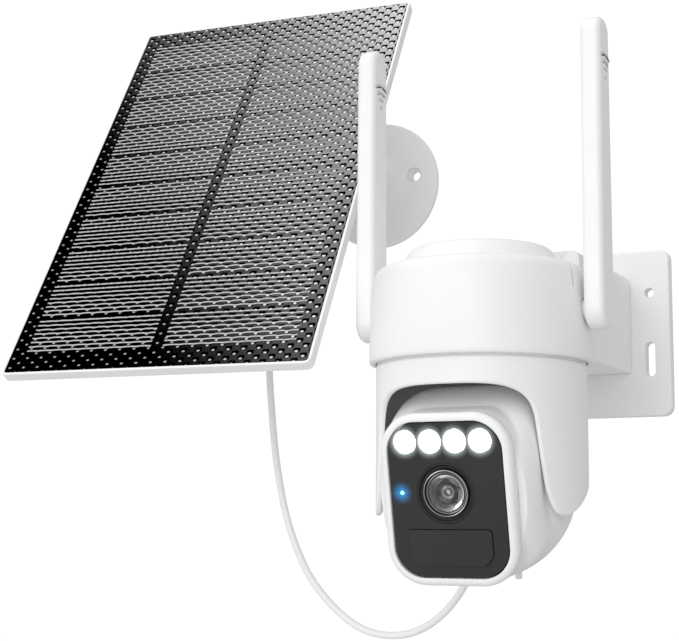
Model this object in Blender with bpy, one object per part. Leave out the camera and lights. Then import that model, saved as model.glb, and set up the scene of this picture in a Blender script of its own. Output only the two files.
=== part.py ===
"""Solar-powered pan-tilt security camera: a wall-hung camera and its solar panel, joined by one lead.

Metres, +Z up, +X to the viewer's right, +Y into the wall. The origin is the centre of the camera wall
plate's back face. Lengths below are in millimetres, and MM turns them into metres.
"""

import math

import bmesh
import bpy
from mathutils import Matrix, Vector

MM = 0.001
GAP = 0.3  # running or fitting clearance between neighbours

# Wall plate and arm
PLATE = (104.8, 6.0, 81.0)
PLATE_CORNER = 5.0
SCREW_HOLE_X, SCREW_HOLE_Z, SCREW_HOLE_R = 42.4, 19.6, 2.2
SLOT_Z, SLOT_LENGTH, SLOT_R = -12.9, 16.7, 2.4
ARM_HALF_WIDTH, ARM_LOW, ARM_HIGH, ARM_WALL = 33.0, 6.3, 55.0, 2.6

# Camera, measured from its pan axis at the seam under the housing
PAN_ORIGIN = (0.0, -118.4, -25.8)
PAN_AT_REST = 2.0
HOUSING_R, HOUSING_WALL, SHOULDER_Z, HOUSING_TOP_R = 48.0, 2.4, 41.4, 45.3
CAP_BASE_R, CAP_TOP_R, CAP_TOP_Z = 34.6, 29.4, 50.1
YOKE_R, YOKE_WALL, YOKE_DECK = 45.0, 2.4, 2.6
BEARING_R = 14.0

# Camera head, measured from its tilt axis; the face looks along -Y
TILT_Z, TILT_AT_REST = -50.5, 12.34
FACE_Y, FACE_SIZE, FACE_CORNER, FACE_Z = -41.2, (48.9, 63.1), 12.5, 0.7
BEZEL_RIM, BEZEL_DEPTH = 3.6, 6.0
BALL_R, BALL_HALF_WIDTH = 40.3, 36.4
BARREL_R, BARREL_HALF_WIDTH = 41.6, 34.6  # the squarer front of the ball
SHELL_WALL = 2.2
LIGHT_Z, LIGHT_PITCH, LIGHT_R = 24.4, 10.72, 4.9
LENS_Z, LENS_R, LENS_RECESS_R = 3.4, 9.6, 12.4
OPTICS_X = -0.7  # lights and lens stand a little left of the middle
STATUS_LIGHT = (-19.6, 3.7)
MICROPHONE = (-18.0, -12.5)
WINDOW = (-0.1, -18.7, 35.6, 14.7)  # motion sensor window: centre x, centre z, width, height

# Port bay under the head: its middle, and its width and depth
PORT, PORT_SIZE = (2.0, -8.0, -38.0), (32.0, 12.0)

# Gears: module, and teeth of wheel and pinion
PAN_GEAR = (1.0, 36, 12)
TILT_GEAR = (0.7, 30, 12)

# Antennas, each on a pivot across the housing's side
ANTENNA_X, ANTENNA_Z, ANTENNA_SIZE = 52.7, 21.0, (9.0, 17.0, 134.5)
ANTENNA_BELOW_PIVOT = 8.5

# Solar panel, measured from its pitch pin, and its bracket on the same wall
SOLAR_BASE, SOLAR_BASE_R = (-105.2, 0.0, 88.6), 34.0
SOLAR_PIVOT = (-147.5, -76.9, 60.2)
SOLAR_LEAN, SOLAR_TURN = -32.4, 5.45
SWIVEL_BEHIND, SWIVEL_ABOVE = 16.0, 3.0
GLASS_Y, GLASS_SIZE = -30.0, (152.6, 239.5)
FRAME_RIM, FRAME_DEPTH, LAMINATE = 1.5, 5.6, 3.0

# The lead between panel and camera, gland to gland, in the row frame
LEAD_D = 3.6
SOLAR_GLAND = (-146.5, -48.4, 43.0)
LEAD_ROUTE = (
    (-146.5, -48.4, 46.0), (-146.5, -48.4, 33.0), (-146.4, -48.4, 16.0), (-146.0, -48.4, -1.0),
    (-145.2, -48.4, -18.0), (-143.8, -48.4, -34.0), (-141.6, -48.4, -54.0), (-138.3, -48.4, -73.0),
    (-134.3, -48.4, -89.0), (-129.0, -48.4, -103.0), (-121.4, -48.4, -117.4), (-111.0, -48.4, -129.6),
    (-99.4, -48.2, -139.0), (-89.0, -47.4, -144.2), (-78.6, -46.4, -146.0), (-68.3, -45.4, -145.0),
    (-59.3, -44.4, -141.4), (-52.0, -43.0, -136.0), (-45.8, -41.4, -129.2), (-40.2, -39.4, -120.0),
    (-33.6, -37.0, -106.0), (-24.0, -34.8, -86.0), (-13.0, -33.4, -64.0), (-4.0, -33.0, -45.0),
    (-0.6, -33.0, -34.0), (0.0, -33.0, -20.0),
)


# ---------------------------------------------------------------- finishes


def finish(name, colour, roughness, metallic=0.0, glow=0.0):
    """A Principled material with one colour."""
    made = bpy.data.materials.new(name)
    made.use_nodes = True
    shader = made.node_tree.nodes["Principled BSDF"]
    shader.inputs["Base Color"].default_value = (*colour, 1.0)
    shader.inputs["Roughness"].default_value = roughness
    shader.inputs["Metallic"].default_value = metallic
    shader.inputs["Emission Color"].default_value = (*colour, 1.0)
    shader.inputs["Emission Strength"].default_value = glow
    made.diffuse_color = (*colour, 1.0)
    return made


# ---------------------------------------------------------------- objects and Booleans


def add(name, mesh, parent, material, at=(0, 0, 0), turn=(0, 0, 0)):
    """A named object at a place in its parent's frame, in mm and degrees."""
    obj = bpy.data.objects.new(name, mesh)
    bpy.context.scene.collection.objects.link(obj)
    obj.parent = parent
    obj.location = Vector(at) * MM
    obj.rotation_euler = [math.radians(angle) for angle in turn]
    mesh.materials.clear()
    if material:
        mesh.materials.append(material)
    mesh.shade_smooth()
    mesh.set_sharp_from_angle(angle=math.radians(32))
    return obj


def helper(name, mesh, parent, at=(0, 0, 0), turn=(0, 0, 0)):
    """A Boolean operand, left out of the model itself."""
    obj = add(name, mesh, parent, None, at, turn)
    obj.hide_render = True
    obj.display_type = "WIRE"
    return obj


def combine(obj, operation, *operands):
    """Cuts each operand from the object, or joins it on."""
    for operand in operands:
        modifier = obj.modifiers.new(operand.name, "BOOLEAN")
        modifier.operation = operation
        modifier.object = operand
    return obj


def frame(name, parent, at, turn=(0, 0, 0)):
    """An empty that carries the pieces of one moving group."""
    empty = bpy.data.objects.new(name, None)
    bpy.context.scene.collection.objects.link(empty)
    empty.empty_display_size = 0.01
    empty.parent = parent
    empty.location = Vector(at) * MM
    empty.rotation_euler = [math.radians(angle) for angle in turn]
    return empty


# ---------------------------------------------------------------- shapes


def mesh_of(points, faces):
    """A mesh in metres from points in mm, with its faces turned outwards."""
    mesh = bpy.data.meshes.new("shape")
    mesh.from_pydata([Vector(p) * MM for p in points], [], faces)
    shape = bmesh.new()
    shape.from_mesh(mesh)
    bmesh.ops.recalc_face_normals(shape, faces=shape.faces)
    shape.to_mesh(mesh)
    shape.free()
    return mesh


def turned(mesh, matrix):
    """The mesh turned about its origin."""
    mesh.transform(matrix)
    return mesh


def lathe(profile, steps):
    """A closed (radius, z) profile turned about Z. A radius of 0 makes a pole."""
    points, rows = [], []
    for radius, z in profile:
        if radius == 0:
            rows.append([len(points)] * steps)
            points.append((0, 0, z))
            continue
        rows.append(list(range(len(points), len(points) + steps)))
        turns = [2 * math.pi * i / steps for i in range(steps)]
        points += [(radius * math.cos(a), radius * math.sin(a), z) for a in turns]
    faces = []
    for low, high in zip(rows, rows[1:] + rows[:1]):
        for i in range(steps):
            j = (i + 1) % steps
            face = list(dict.fromkeys((low[i], low[j], high[j], high[i])))
            if len(face) > 2:
                faces.append(face)
    return mesh_of(points, faces)


def cylinder(radius, low, high, steps=32):
    """A round bar along Z."""
    return lathe([(0, low), (radius, low), (radius, high), (0, high)], steps)


def tube(outer, inner, low, high, steps=48):
    """A round tube along Z."""
    return lathe([(inner, low), (outer, low), (outer, high), (inner, high)], steps)


def prism(outline, low, high):
    """An outline in X and Y, drawn up along Z."""
    count = len(outline)
    points = [(x, y, z) for z in (low, high) for x, y in outline]
    sides = [(i, (i + 1) % count, (i + 1) % count + count, i + count) for i in range(count)]
    return mesh_of(points, [range(count), range(count, 2 * count), *sides])


def frame_prism(outer, inner, low, high):
    """A prism with a hole: both outlines have the same number of points."""
    count = len(outer)
    points = [(x, y, z) for z in (low, high) for ring in (outer, inner) for x, y in ring]
    faces = []
    for a, b in ((0, 1), (2, 3), (0, 2), (1, 3)):
        for i in range(count):
            j = (i + 1) % count
            faces.append((a * count + i, a * count + j, b * count + j, b * count + i))
    return mesh_of(points, faces)


def rounded(width, height, corner, centre=(0, 0), steps=5):
    """A rectangle's outline with round corners."""
    outline = []
    for quarter, (sx, sy) in enumerate(((1, 1), (-1, 1), (-1, -1), (1, -1))):
        for i in range(steps + 1):
            angle = math.pi / 2 * (quarter + i / steps)
            x = centre[0] + sx * (width / 2 - corner) + corner * math.cos(angle)
            y = centre[1] + sy * (height / 2 - corner) + corner * math.sin(angle)
            outline.append((x, y))
    return outline


def block(size, corner=0.0, centre=(0, 0, 0)):
    """A box standing on its outline, with round upright edges if a corner is given."""
    if corner:
        outline = rounded(size[0], size[1], corner, centre[:2], steps=4)
    else:
        outline = [(centre[0] + sx * size[0] / 2, centre[1] + sy * size[1] / 2)
                   for sx, sy in ((1, 1), (-1, 1), (-1, -1), (1, -1))]
    return prism(outline, centre[2] - size[2] / 2, centre[2] + size[2] / 2)


def gear_outline(module, teeth):
    """Straight-flanked teeth about the pitch circle, thinned a little for backlash."""
    pitch = module * teeth / 2
    outline = []
    for tooth in range(teeth):
        for share, radius in ((-0.34, -1.15), (-0.13, 0.85), (0.13, 0.85), (0.34, -1.15)):
            angle = 2 * math.pi * (tooth + share) / teeth
            reach = pitch + radius * module
            outline.append((reach * math.cos(angle), reach * math.sin(angle)))
    return outline


LIE_ALONG_Y = Matrix.Rotation(math.radians(90), 4, "X")  # local Z to -Y, local Y to +Z
LIE_ALONG_X = Matrix.Rotation(math.radians(90), 4, "Y")  # local Z to +X


def facing(mesh):
    """A shape drawn in X and Z, with its height along Z turned to face along -Y."""
    return turned(mesh, LIE_ALONG_Y)


def across(mesh):
    """A shape whose axis was Z, laid along X."""
    return turned(mesh, LIE_ALONG_X)


# ---------------------------------------------------------------- wall plate and arm


def build_wall_plate(world, shell, steel):
    """The moulded plate with two round holes, two slots, and two screws into the arm."""
    width, depth, height = PLATE
    outline = rounded(width, height, PLATE_CORNER)
    plate = add("wall_plate", facing(prism(outline, 0, depth)), world, shell)
    bevel = plate.modifiers.new("edge", "BEVEL")
    bevel.width, bevel.segments = 1.2 * MM, 2
    bevel.limit_method, bevel.angle_limit = "ANGLE", math.radians(60)
    for side in (-1, 1):
        hole = facing(cylinder(SCREW_HOLE_R, -5, depth + 5, 16))
        slot = facing(prism(rounded(2 * SLOT_R, SLOT_LENGTH, SLOT_R - 0.01, steps=5), -5, depth + 5))
        combine(plate, "DIFFERENCE",
                helper(f"hole_cutter_{side}", hole, world, (side * SCREW_HOLE_X, 0, SCREW_HOLE_Z)),
                helper(f"slot_cutter_{side}", slot, world, (side * SCREW_HOLE_X, 0, SLOT_Z)),
                helper(f"arm_screw_cutter_{side}", facing(cylinder(2.0, -5, depth + 5, 16)), world,
                       (side * 20, 0, 5)))
        screw = lathe([(0, 0.8), (3.4, 0.8), (3.4, 2.2), (1.6, 4.2), (1.6, 15), (0, 15)], 20)
        head = facing(cylinder(3.8, -5, 4.5, 20))
        place = (side * 20, 0, 5)
        combine(plate, "DIFFERENCE", helper(f"screw_head_cutter_{side}", head, world, place))
        add(f"arm_screw_{'left' if side < 0 else 'right'}", facing(screw), world, steel, place)


def build_wall_arm(camera, shell):
    """The hollow arm from the plate to the housing, open at the plate, with its lead gland."""
    depth = -PAN_ORIGIN[1] - PLATE[1] - GAP
    width, height = 2 * ARM_HALF_WIDTH, ARM_HIGH - ARM_LOW
    middle = (ARM_LOW + ARM_HIGH) / 2
    reach = depth - 30
    outline = [(-width / 2, ARM_LOW), (width / 2, ARM_LOW)]
    radius = 7.0
    for sign, start in ((1, 0), (-1, 90)):
        for i in range(5):
            angle = math.radians(start + 90 * i / 4)
            outline.append((sign * (width / 2 - radius) + radius * math.cos(angle),
                            ARM_HIGH - radius + radius * math.sin(angle)))
    arm = add("wall_arm", facing(prism(outline, -depth, -depth + reach)), camera, shell)
    hollow = facing(prism(rounded(width - 2 * ARM_WALL, height - 2 * ARM_WALL, 4, (0, middle)),
                          -depth - 5, -depth + 48))
    cavity = helper("arm_hollow", hollow, camera)
    round_end = helper("arm_round_end", cylinder(HOUSING_R + GAP, -10, 70, 48), camera)
    lead_hole = cylinder(4.0, ARM_LOW - 3, ARM_LOW + 5, 20)
    lead_hole = helper("arm_lead_hole", lead_hole, camera, (0, 85.4, 0))
    combine(arm, "DIFFERENCE", cavity, round_end, lead_hole)
    for side in (-1, 1):
        boss = helper(f"arm_boss_{side}", facing(cylinder(5.0, -depth, -depth + 13, 20)), camera,
                      (side * 20, 0, -PAN_ORIGIN[2] + 5))
        rib = helper(f"arm_rib_{side}", block((5, 12.9, 30), 0, (side * 20, depth - 6.45, 40)), camera)
        bore = helper(f"arm_bore_{side}", facing(cylinder(1.9, -depth - 5, -depth + 12, 16)), camera,
                      (side * 20, 0, -PAN_ORIGIN[2] + 5))
        combine(arm, "UNION", boss, rib)
        combine(arm, "DIFFERENCE", bore)


def build_gland(name, parent, seal, at, turn=(0, 0, 0)):
    """A push-in strain relief: a flange under the wall, a stem through it, and a tapered sleeve."""
    half = LEAD_D / 2
    profile = [(half + 0.35, -11.5), (half + 1.0, -11.5), (half + 1.7, -2.2), (5.2, -2.0), (5.4, -0.3),
               (3.7, -0.3), (3.7, 3.4), (half + 0.35, 3.4)]
    add(name, lathe(profile, 16), parent, seal, at, turn)


# ---------------------------------------------------------------- housing


def build_housing(camera, shell, seal):
    """The fixed upper housing, its raised cap and the cap's seal."""
    wall, top, rim = HOUSING_WALL, SHOULDER_Z, HOUSING_R
    high = HOUSING_TOP_R
    outer = [(rim - 1.9, 0.0), (rim - 0.5, 1.4), (rim, 4.0), (rim - 0.3, 12), (high + 0.3, top - 4.6),
             (high - 0.6, top - 1.8), (high - 3.2, top)]
    inner = [(24, top), (24, top - wall), (high - 4.4, top - wall), (high - wall, top - 5.2),
             (rim - wall, 5.0), (rim - wall, 3.2), (rim - 2.7, 0.0)]
    housing = add("housing_shell", lathe(outer + inner, 48), camera, shell)
    cap = [(0, top + GAP), (CAP_BASE_R, top + GAP), (CAP_BASE_R - 0.5, top + 1.6),
           (CAP_TOP_R + 2.2, CAP_TOP_Z - 2.4), (CAP_TOP_R, CAP_TOP_Z - 0.5), (CAP_TOP_R - 2.4, CAP_TOP_Z),
           (0, CAP_TOP_Z)]
    combine(housing, "DIFFERENCE",
            helper("cap_seal_groove", tube(33.2, 30.6, top - 1.3, top + 4, 32), camera))
    for side in (-1, 1):
        seat = across(cylinder(5.4, 30, 52, 16))
        turn = (0, 0, 0) if side > 0 else (0, 0, 180)
        combine(housing, "DIFFERENCE",
                helper(f"hub_cutter_{side}", seat, camera, (0, 0.3, ANTENNA_Z), turn))
    add("top_cap", lathe(cap, 40), camera, shell)
    add("cap_seal", tube(32.9, 30.9, top - 1.0, top, 32), camera, seal)


def build_chassis(camera, board, steel, cell, metal, dark):
    """What the housing holds: floor, bearing, cells in their cradle, board, radio and pan motor."""
    floor = tube(HOUSING_R - HOUSING_WALL - GAP, BEARING_R + GAP, 3.4, 5.6, 32)
    add("chassis_floor", floor, camera, dark)
    add("pan_bearing", tube(BEARING_R, 10.4, 0.4, 5.4, 28), camera, steel)
    for index, y in enumerate((0.4, 19.4)):
        place = (0, y, 24.0)
        add(f"battery_cell_{index + 1}", across(cylinder(9.2, -32.5, 32.5, 20)), camera, cell, place)
    cradle = block((58, 38.8, 8.4), 2.0, (0, 9.9, 17.6))
    cradle = add("battery_cradle", cradle, camera, dark)
    for index, y in enumerate((0.4, 19.4)):
        seat = across(cylinder(9.5, -40, 40, 20))
        combine(cradle, "DIFFERENCE", helper(f"cell_seat_{index}", seat, camera, (0, y, 24.0)))
    circuit = add("main_board", cylinder(34.0, 35.0, 36.6, 28), camera, board)
    combine(circuit, "UNION", helper("radio_can", block((18, 14, 2.2), 0, (0, -12, 37.3)), camera))
    pitch = PAN_GEAR[0] * (PAN_GEAR[1] + PAN_GEAR[2]) / 2
    motor = lathe([(2.0, 12.0), (4.0, 12.0), (4.0, 13.0), (10.0, 13.0), (10.0, 26.0), (0, 26.0), (0, 14.2),
                   (2.0, 14.2)], 20)
    add("pan_motor", motor, camera, metal, (0, -pitch, 0))


# ---------------------------------------------------------------- yoke


def yoke_edge():
    """(angle from the front, z) along the yoke's lower edge, from the front round to the back."""
    front = [(0, -12.0), (18.5, -12.1), (31, -13.0), (39.5, -15.1), (44, -17.4), (47, -20.2), (49, -24),
             (50.2, -28.5), (51.7, -36), (53.6, -44.7), (56, -53.5), (58.7, -58.6), (61.2, -61.6),
             (64, -63.4), (68.5, -64.3), (74.5, -63.4), (82, -61.0), (94, -56.0), (106, -51.0),
             (118, -46.6), (132, -42.8), (146, -40.2), (163, -38.4), (180, -38.0)]
    return front + [(360 - angle, z) for angle, z in front[-2:0:-1]]


def yoke_mesh():
    """The yoke's wall and deck: one section carried round the pan axis over a waving lower edge."""
    outer, inner, hub = YOKE_R, YOKE_R - YOKE_WALL, BEARING_R - 3.9
    edge, points = yoke_edge(), []
    for angle, low in edge:
        a = math.radians(angle)
        section = ((inner, low), (outer - 1.0, low), (outer - 0.35 + low / 250, low + 1.0), (outer, -1.3),
                   (outer - 0.9, -0.4), (hub, -0.4), (hub, -0.4 - YOKE_DECK), (inner, -0.4 - YOKE_DECK))
        points += [(r * math.sin(a), -r * math.cos(a), z) for r, z in section]
    size, count, faces = len(section), len(edge), []
    for i in range(count):
        for k in range(size):
            j, m = (i + 1) % count, (k + 1) % size
            faces.append((i * size + k, i * size + m, j * size + m, j * size + k))
    return mesh_of(points, faces)


def build_yoke(pan, shell, steel, nylon, dark):
    """The turning yoke, its hub gear and pinion, and the two stub shafts that carry the head."""
    add("yoke_shell", yoke_mesh(), pan, shell)
    wheel = prism(gear_outline(*PAN_GEAR[:2]), 6.4, 10.4)
    hub = add("pan_gear", wheel, pan, nylon, (0, 0, 0), (0, 0, -PAN_AT_REST))
    combine(hub, "UNION", helper("hub_tube", cylinder(9.9, -3.6, 7.2, 24), pan))
    combine(hub, "UNION", helper("hub_flange", cylinder(13.4, -4.6, -3.3, 24), pan))
    combine(hub, "DIFFERENCE", helper("hub_wire_way", cylinder(4.5, -9, 15, 16), pan))
    for side, word in ((-1, "left"), (1, "right")):
        turn = (0, 0, 0) if side > 0 else (0, 0, 180)
        stub = lathe([(2.2, 20.5), (4.0, 20.5), (4.0, 35.0), (4.9, 35.2), (4.9, 37.4), (6.5, 37.6),
                      (6.5, 39.6), (2.2, 39.6)], 16)
        add(f"tilt_stub_{word}", across(stub), pan, steel, (0, 0, TILT_Z), turn)
        cheek = across(prism(rounded(18, 21, 8.5, (-2.5, -5 * side)), 37.9, 39.5))
        cheek = add(f"arm_cover_{word}", cheek, pan, dark, (0, 0, TILT_Z), turn)
        combine(cheek, "DIFFERENCE",
                helper(f"stub_way_{word}", across(cylinder(6.8, 30, 45, 16)), pan, (0, 0, TILT_Z), turn))
    wheel = across(prism(gear_outline(*TILT_GEAR[:2]), 23.0, 26.4))
    wheel = add("tilt_gear", wheel, pan, nylon, (0, 0, TILT_Z), (TILT_AT_REST - 12.0, 0, 0))
    bore = across(cylinder(4.3, 20, 30, 16))
    combine(wheel, "DIFFERENCE", helper("tilt_gear_bore", bore, pan, (0, 0, TILT_Z)))


def build_pinions(camera, head, nylon):
    """Each motor's shaft and pinion as one piece, in mesh with its wheel."""
    module, teeth, small = PAN_GEAR
    pitch = module * (teeth + small) / 2
    pinion = prism(gear_outline(module, small), 6.2, 10.6)
    pinion = add("pan_pinion", pinion, camera, nylon, (0, -pitch, 0), (0, 0, 180 / small + 90))
    shaft = cylinder(1.6, 6.0, 13.9, 16)
    combine(pinion, "UNION", helper("pan_shaft", shaft, camera, (0, -pitch, 0)))
    module, teeth, small = TILT_GEAR
    pitch = module * (teeth + small) / 2
    pinion = prism(gear_outline(module, small), 22.8, 26.6)
    pinion = add("tilt_pinion", across(pinion), head, nylon, (0, pitch, 0))
    shaft = across(cylinder(1.5, 18.4, 26.0, 16))
    combine(pinion, "UNION", helper("tilt_shaft", shaft, head, (0, pitch, 0)))


# ---------------------------------------------------------------- head


def head_reach(angle, y, inset):
    """How far the head's skin lies from its facing axis at this angle and depth, with a soft crease."""
    snout = rounded_reach(FACE_SIZE[0] / 2 + BEZEL_RIM - inset, FACE_SIZE[1] / 2 + BEZEL_RIM - inset,
                          FACE_CORNER + BEZEL_RIM - inset, angle)
    ball = math.sqrt(max((BALL_R - inset) ** 2 - y ** 2, 0.0))
    lift = math.degrees(math.atan2(ball * math.sin(angle), -y))
    swell = smooth_step(-75, -35, lift) * (1 - smooth_step(110, 135, lift))
    ball += swell * max(barrel_reach(angle, y, inset) - ball, 0.0)
    crease = 0.0
    if y < -10:
        crease = 1.0 * math.exp(-abs(snout - ball) / 3.0)
    else:
        snout = 0.0
    flat = (BALL_HALF_WIDTH - inset) / max(abs(math.cos(angle)), 1e-6)
    return min(max(snout, ball) + crease * (1 - 0.5 * swell), flat)


def smooth_step(start, end, value):
    """0 before the start, 1 after the end, and an easy S between them."""
    t = min(max((value - start) / (end - start), 0.0), 1.0)
    return t * t * (3 - 2 * t)


def barrel_reach(angle, y, inset):
    """Reach of a barrel that is round about X and has full shoulders: |x/a|^5 + (rho/R)^5 = 1."""
    low, high = 0.0, 1.6 * BARREL_R
    for _ in range(24):
        reach = (low + high) / 2
        across_part = abs(reach * math.cos(angle)) / (BARREL_HALF_WIDTH - inset)
        round_part = math.hypot(y, reach * math.sin(angle)) / (BARREL_R - inset)
        low, high = (reach, high) if across_part ** 5 + round_part ** 5 < 1 else (low, reach)
    return low


def rounded_reach(half_x, half_z, corner, angle):
    """Distance from the centre to a rounded rectangle's edge."""
    c, s = abs(math.cos(angle)), abs(math.sin(angle))
    straight = min(half_x / max(c, 1e-9), half_z / max(s, 1e-9))
    x, z = straight * c, straight * s
    cx, cz = half_x - corner, half_z - corner
    if x <= cx or z <= cz:
        return straight
    along = c * cx + s * cz
    return along + math.sqrt(max(along ** 2 - cx ** 2 - cz ** 2 + corner ** 2, 0.0))


def head_mesh(front, steps=36):
    """The head's shell from its front rim round to its rear pole, as an outer and an inner skin."""
    depths = [front, front + 7, front + 14, front + 20, -9.9, 4, 15, 24, 31, 36]
    points, rows = [], []
    for inset, pole in ((0.0, BALL_R), (SHELL_WALL, BALL_R - SHELL_WALL)):
        for depth in depths:
            y = min(depth, pole - 0.6)
            rows.append(range(len(points), len(points) + steps))
            for i in range(steps):
                angle = 2 * math.pi * (i + 0.5) / steps
                reach = head_reach(angle, y, inset)
                shift = FACE_Z * min(max(1 - (y - front) / 20, 0), 1)
                points.append((reach * math.cos(angle), y, shift + reach * math.sin(angle)))
        rows.append(len(points))
        points.append((0, pole, 0))
    half = len(rows) // 2
    outer, inner = rows[:half], rows[half:]
    faces = []
    for skin in (outer, inner):
        for near, far in zip(skin[:-2], skin[1:-1]):
            faces += [(near[i], near[(i + 1) % steps], far[(i + 1) % steps], far[i]) for i in range(steps)]
        faces += [(skin[-2][i], skin[-2][(i + 1) % steps], skin[-1]) for i in range(steps)]
    faces += [(outer[0][i], outer[0][(i + 1) % steps], inner[0][(i + 1) % steps], inner[0][i])
              for i in range(steps)]
    return mesh_of(points, faces)


def build_head_shell(head, shell):
    """The ball-shaped shell with its side bores, microphone hole and port bay, and the front bezel."""
    front = FACE_Y + BEZEL_DEPTH + GAP
    body = add("head_shell", head_mesh(front), head, shell)
    for side in (-1, 1):
        bore = across(cylinder(5.3, 30, 40, 16))
        turn = (0, 0, 0) if side > 0 else (0, 0, 180)
        combine(body, "DIFFERENCE", helper(f"stub_bore_{side}", bore, head, (0, 0, 0), turn))
    x, y = MICROPHONE
    bay = block((PORT_SIZE[0] + 2 * GAP, PORT_SIZE[1] + 2 * GAP, 20), 2.5, PORT)
    combine(body, "DIFFERENCE", helper("mic_hole", cylinder(0.9, 20, 60, 12), head, (x, y, 0)),
            helper("port_bay", bay, head))
    width, height = FACE_SIZE
    outer = [rounded(width + 2 * rim, height + 2 * rim, FACE_CORNER + rim, (0, FACE_Z))
             for rim in (BEZEL_RIM, BEZEL_RIM - 1.3)]
    hole = rounded(width + 2 * GAP, height + 2 * GAP, FACE_CORNER, (0, FACE_Z))
    bezel = facing(frame_prism(outer[0], hole, -FACE_Y - BEZEL_DEPTH, -FACE_Y - 1.3))
    bezel = add("front_bezel", bezel, head, shell)
    lip = facing(frame_prism(outer[1], hole, -FACE_Y - 1.5, -FACE_Y))
    combine(bezel, "UNION", helper("bezel_lip", lip, head))


def build_face(head, black, clear, lens, glass, board, led, blue):
    """The black front panel with lights, lens, status light and motion sensor window."""
    width, height = FACE_SIZE
    front = -FACE_Y - 0.6
    outline = rounded(width - GAP, height - GAP, FACE_CORNER - 0.2, (0, FACE_Z))
    panel = add("face_panel", facing(prism(outline, front - 2.4, front)), head, black)
    for index in range(4):
        x = OPTICS_X + (index - 1.5) * LIGHT_PITCH
        way = facing(cylinder(LIGHT_R + 0.15, 20, 60, 20))
        combine(panel, "DIFFERENCE", helper(f"light_way_{index}", way, head, (x, 0, LIGHT_Z)))
        dome = lathe([(0, front - 2.2), (LIGHT_R - 0.15, front - 2.2), (LIGHT_R - 0.15, front - 0.3),
                      (LIGHT_R * 0.6, front + 0.2), (0, front + 0.4)], 16)
        add(f"light_lens_{index + 1}", facing(dome), head, clear, (x, 0, LIGHT_Z))
    lens_way = facing(cylinder(LENS_RECESS_R, 20, 60, 32))
    status_way = facing(cylinder(1.1, 20, 60, 16))
    window_hole = facing(prism(window_outline(GAP), 20, 60))
    lens_at = (OPTICS_X, 0, LENS_Z)
    combine(panel, "DIFFERENCE", helper("lens_way", lens_way, head, lens_at),
            helper("status_way", status_way, head, (STATUS_LIGHT[0], 0, STATUS_LIGHT[1])),
            helper("window_way", window_hole, head))
    add("motion_window", facing(prism(window_outline(0), front - 2.2, front + 0.5)), head, black)
    add("motion_sensor", facing(cylinder(4.6, front - 7.4, front - 2.6, 24)), head, led,
        (WINDOW[0], 0, WINDOW[1]))
    add("status_light", facing(cylinder(0.8, front - 6.4, front - 0.1, 12)), head, blue,
        (STATUS_LIGHT[0], 0, STATUS_LIGHT[1]))
    ring = [(LENS_R + GAP, front - 2.6), (LENS_RECESS_R - 0.3, front - 2.6),
            (LENS_RECESS_R - 0.3, front - 0.2), (LENS_RECESS_R - 0.9, front),
            (LENS_R + 1.2, front - 1.2), (LENS_R + GAP, front - 1.3)]
    add("lens_ring", facing(lathe(ring, 32)), head, black, lens_at)
    barrel = [(0, front - 24), (7.0, front - 24), (7.0, front - 10), (LENS_R, front - 9),
              (LENS_R, front - 0.4), (LENS_R - 1.0, front + 0.3), (LENS_R - 1.6, front - 0.2),
              (4.6, front - 3.6), (0, front - 3.8)]
    add("lens_barrel", facing(lathe(barrel, 24)), head, lens, lens_at)
    dome = [(0, front - 3.4), (4.2, front - 3.2), (LENS_R - 2.2, front - 0.6), (6.2, front),
            (3.4, front + 0.5), (0, front + 0.7)]
    add("lens_glass", facing(lathe(dome, 24)), head, glass, lens_at)
    lights = facing(prism(rounded(40, 10, 4, (0, LIGHT_Z - 0.5)), front - 5.0, front - 3.4))
    add("light_board", lights, head, board)
    add("camera_board", facing(prism(rounded(38, 44, 2, (0, 0)), 13.0, 14.6)), head, board)


def window_outline(grow):
    """The motion sensor window's outline: square at the top, chamfered at the bottom."""
    x, z, width, height = WINDOW
    w, h, cut, small = width / 2 + grow, height / 2 + grow, 4.0, 1.4
    corners = ((w, h - small), (w - small, h), (small - w, h), (-w, h - small), (-w, cut - h), (cut - w, -h),
               (w - cut, -h), (w, cut - h))
    return [(x + a, z + b) for a, b in corners]


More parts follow.
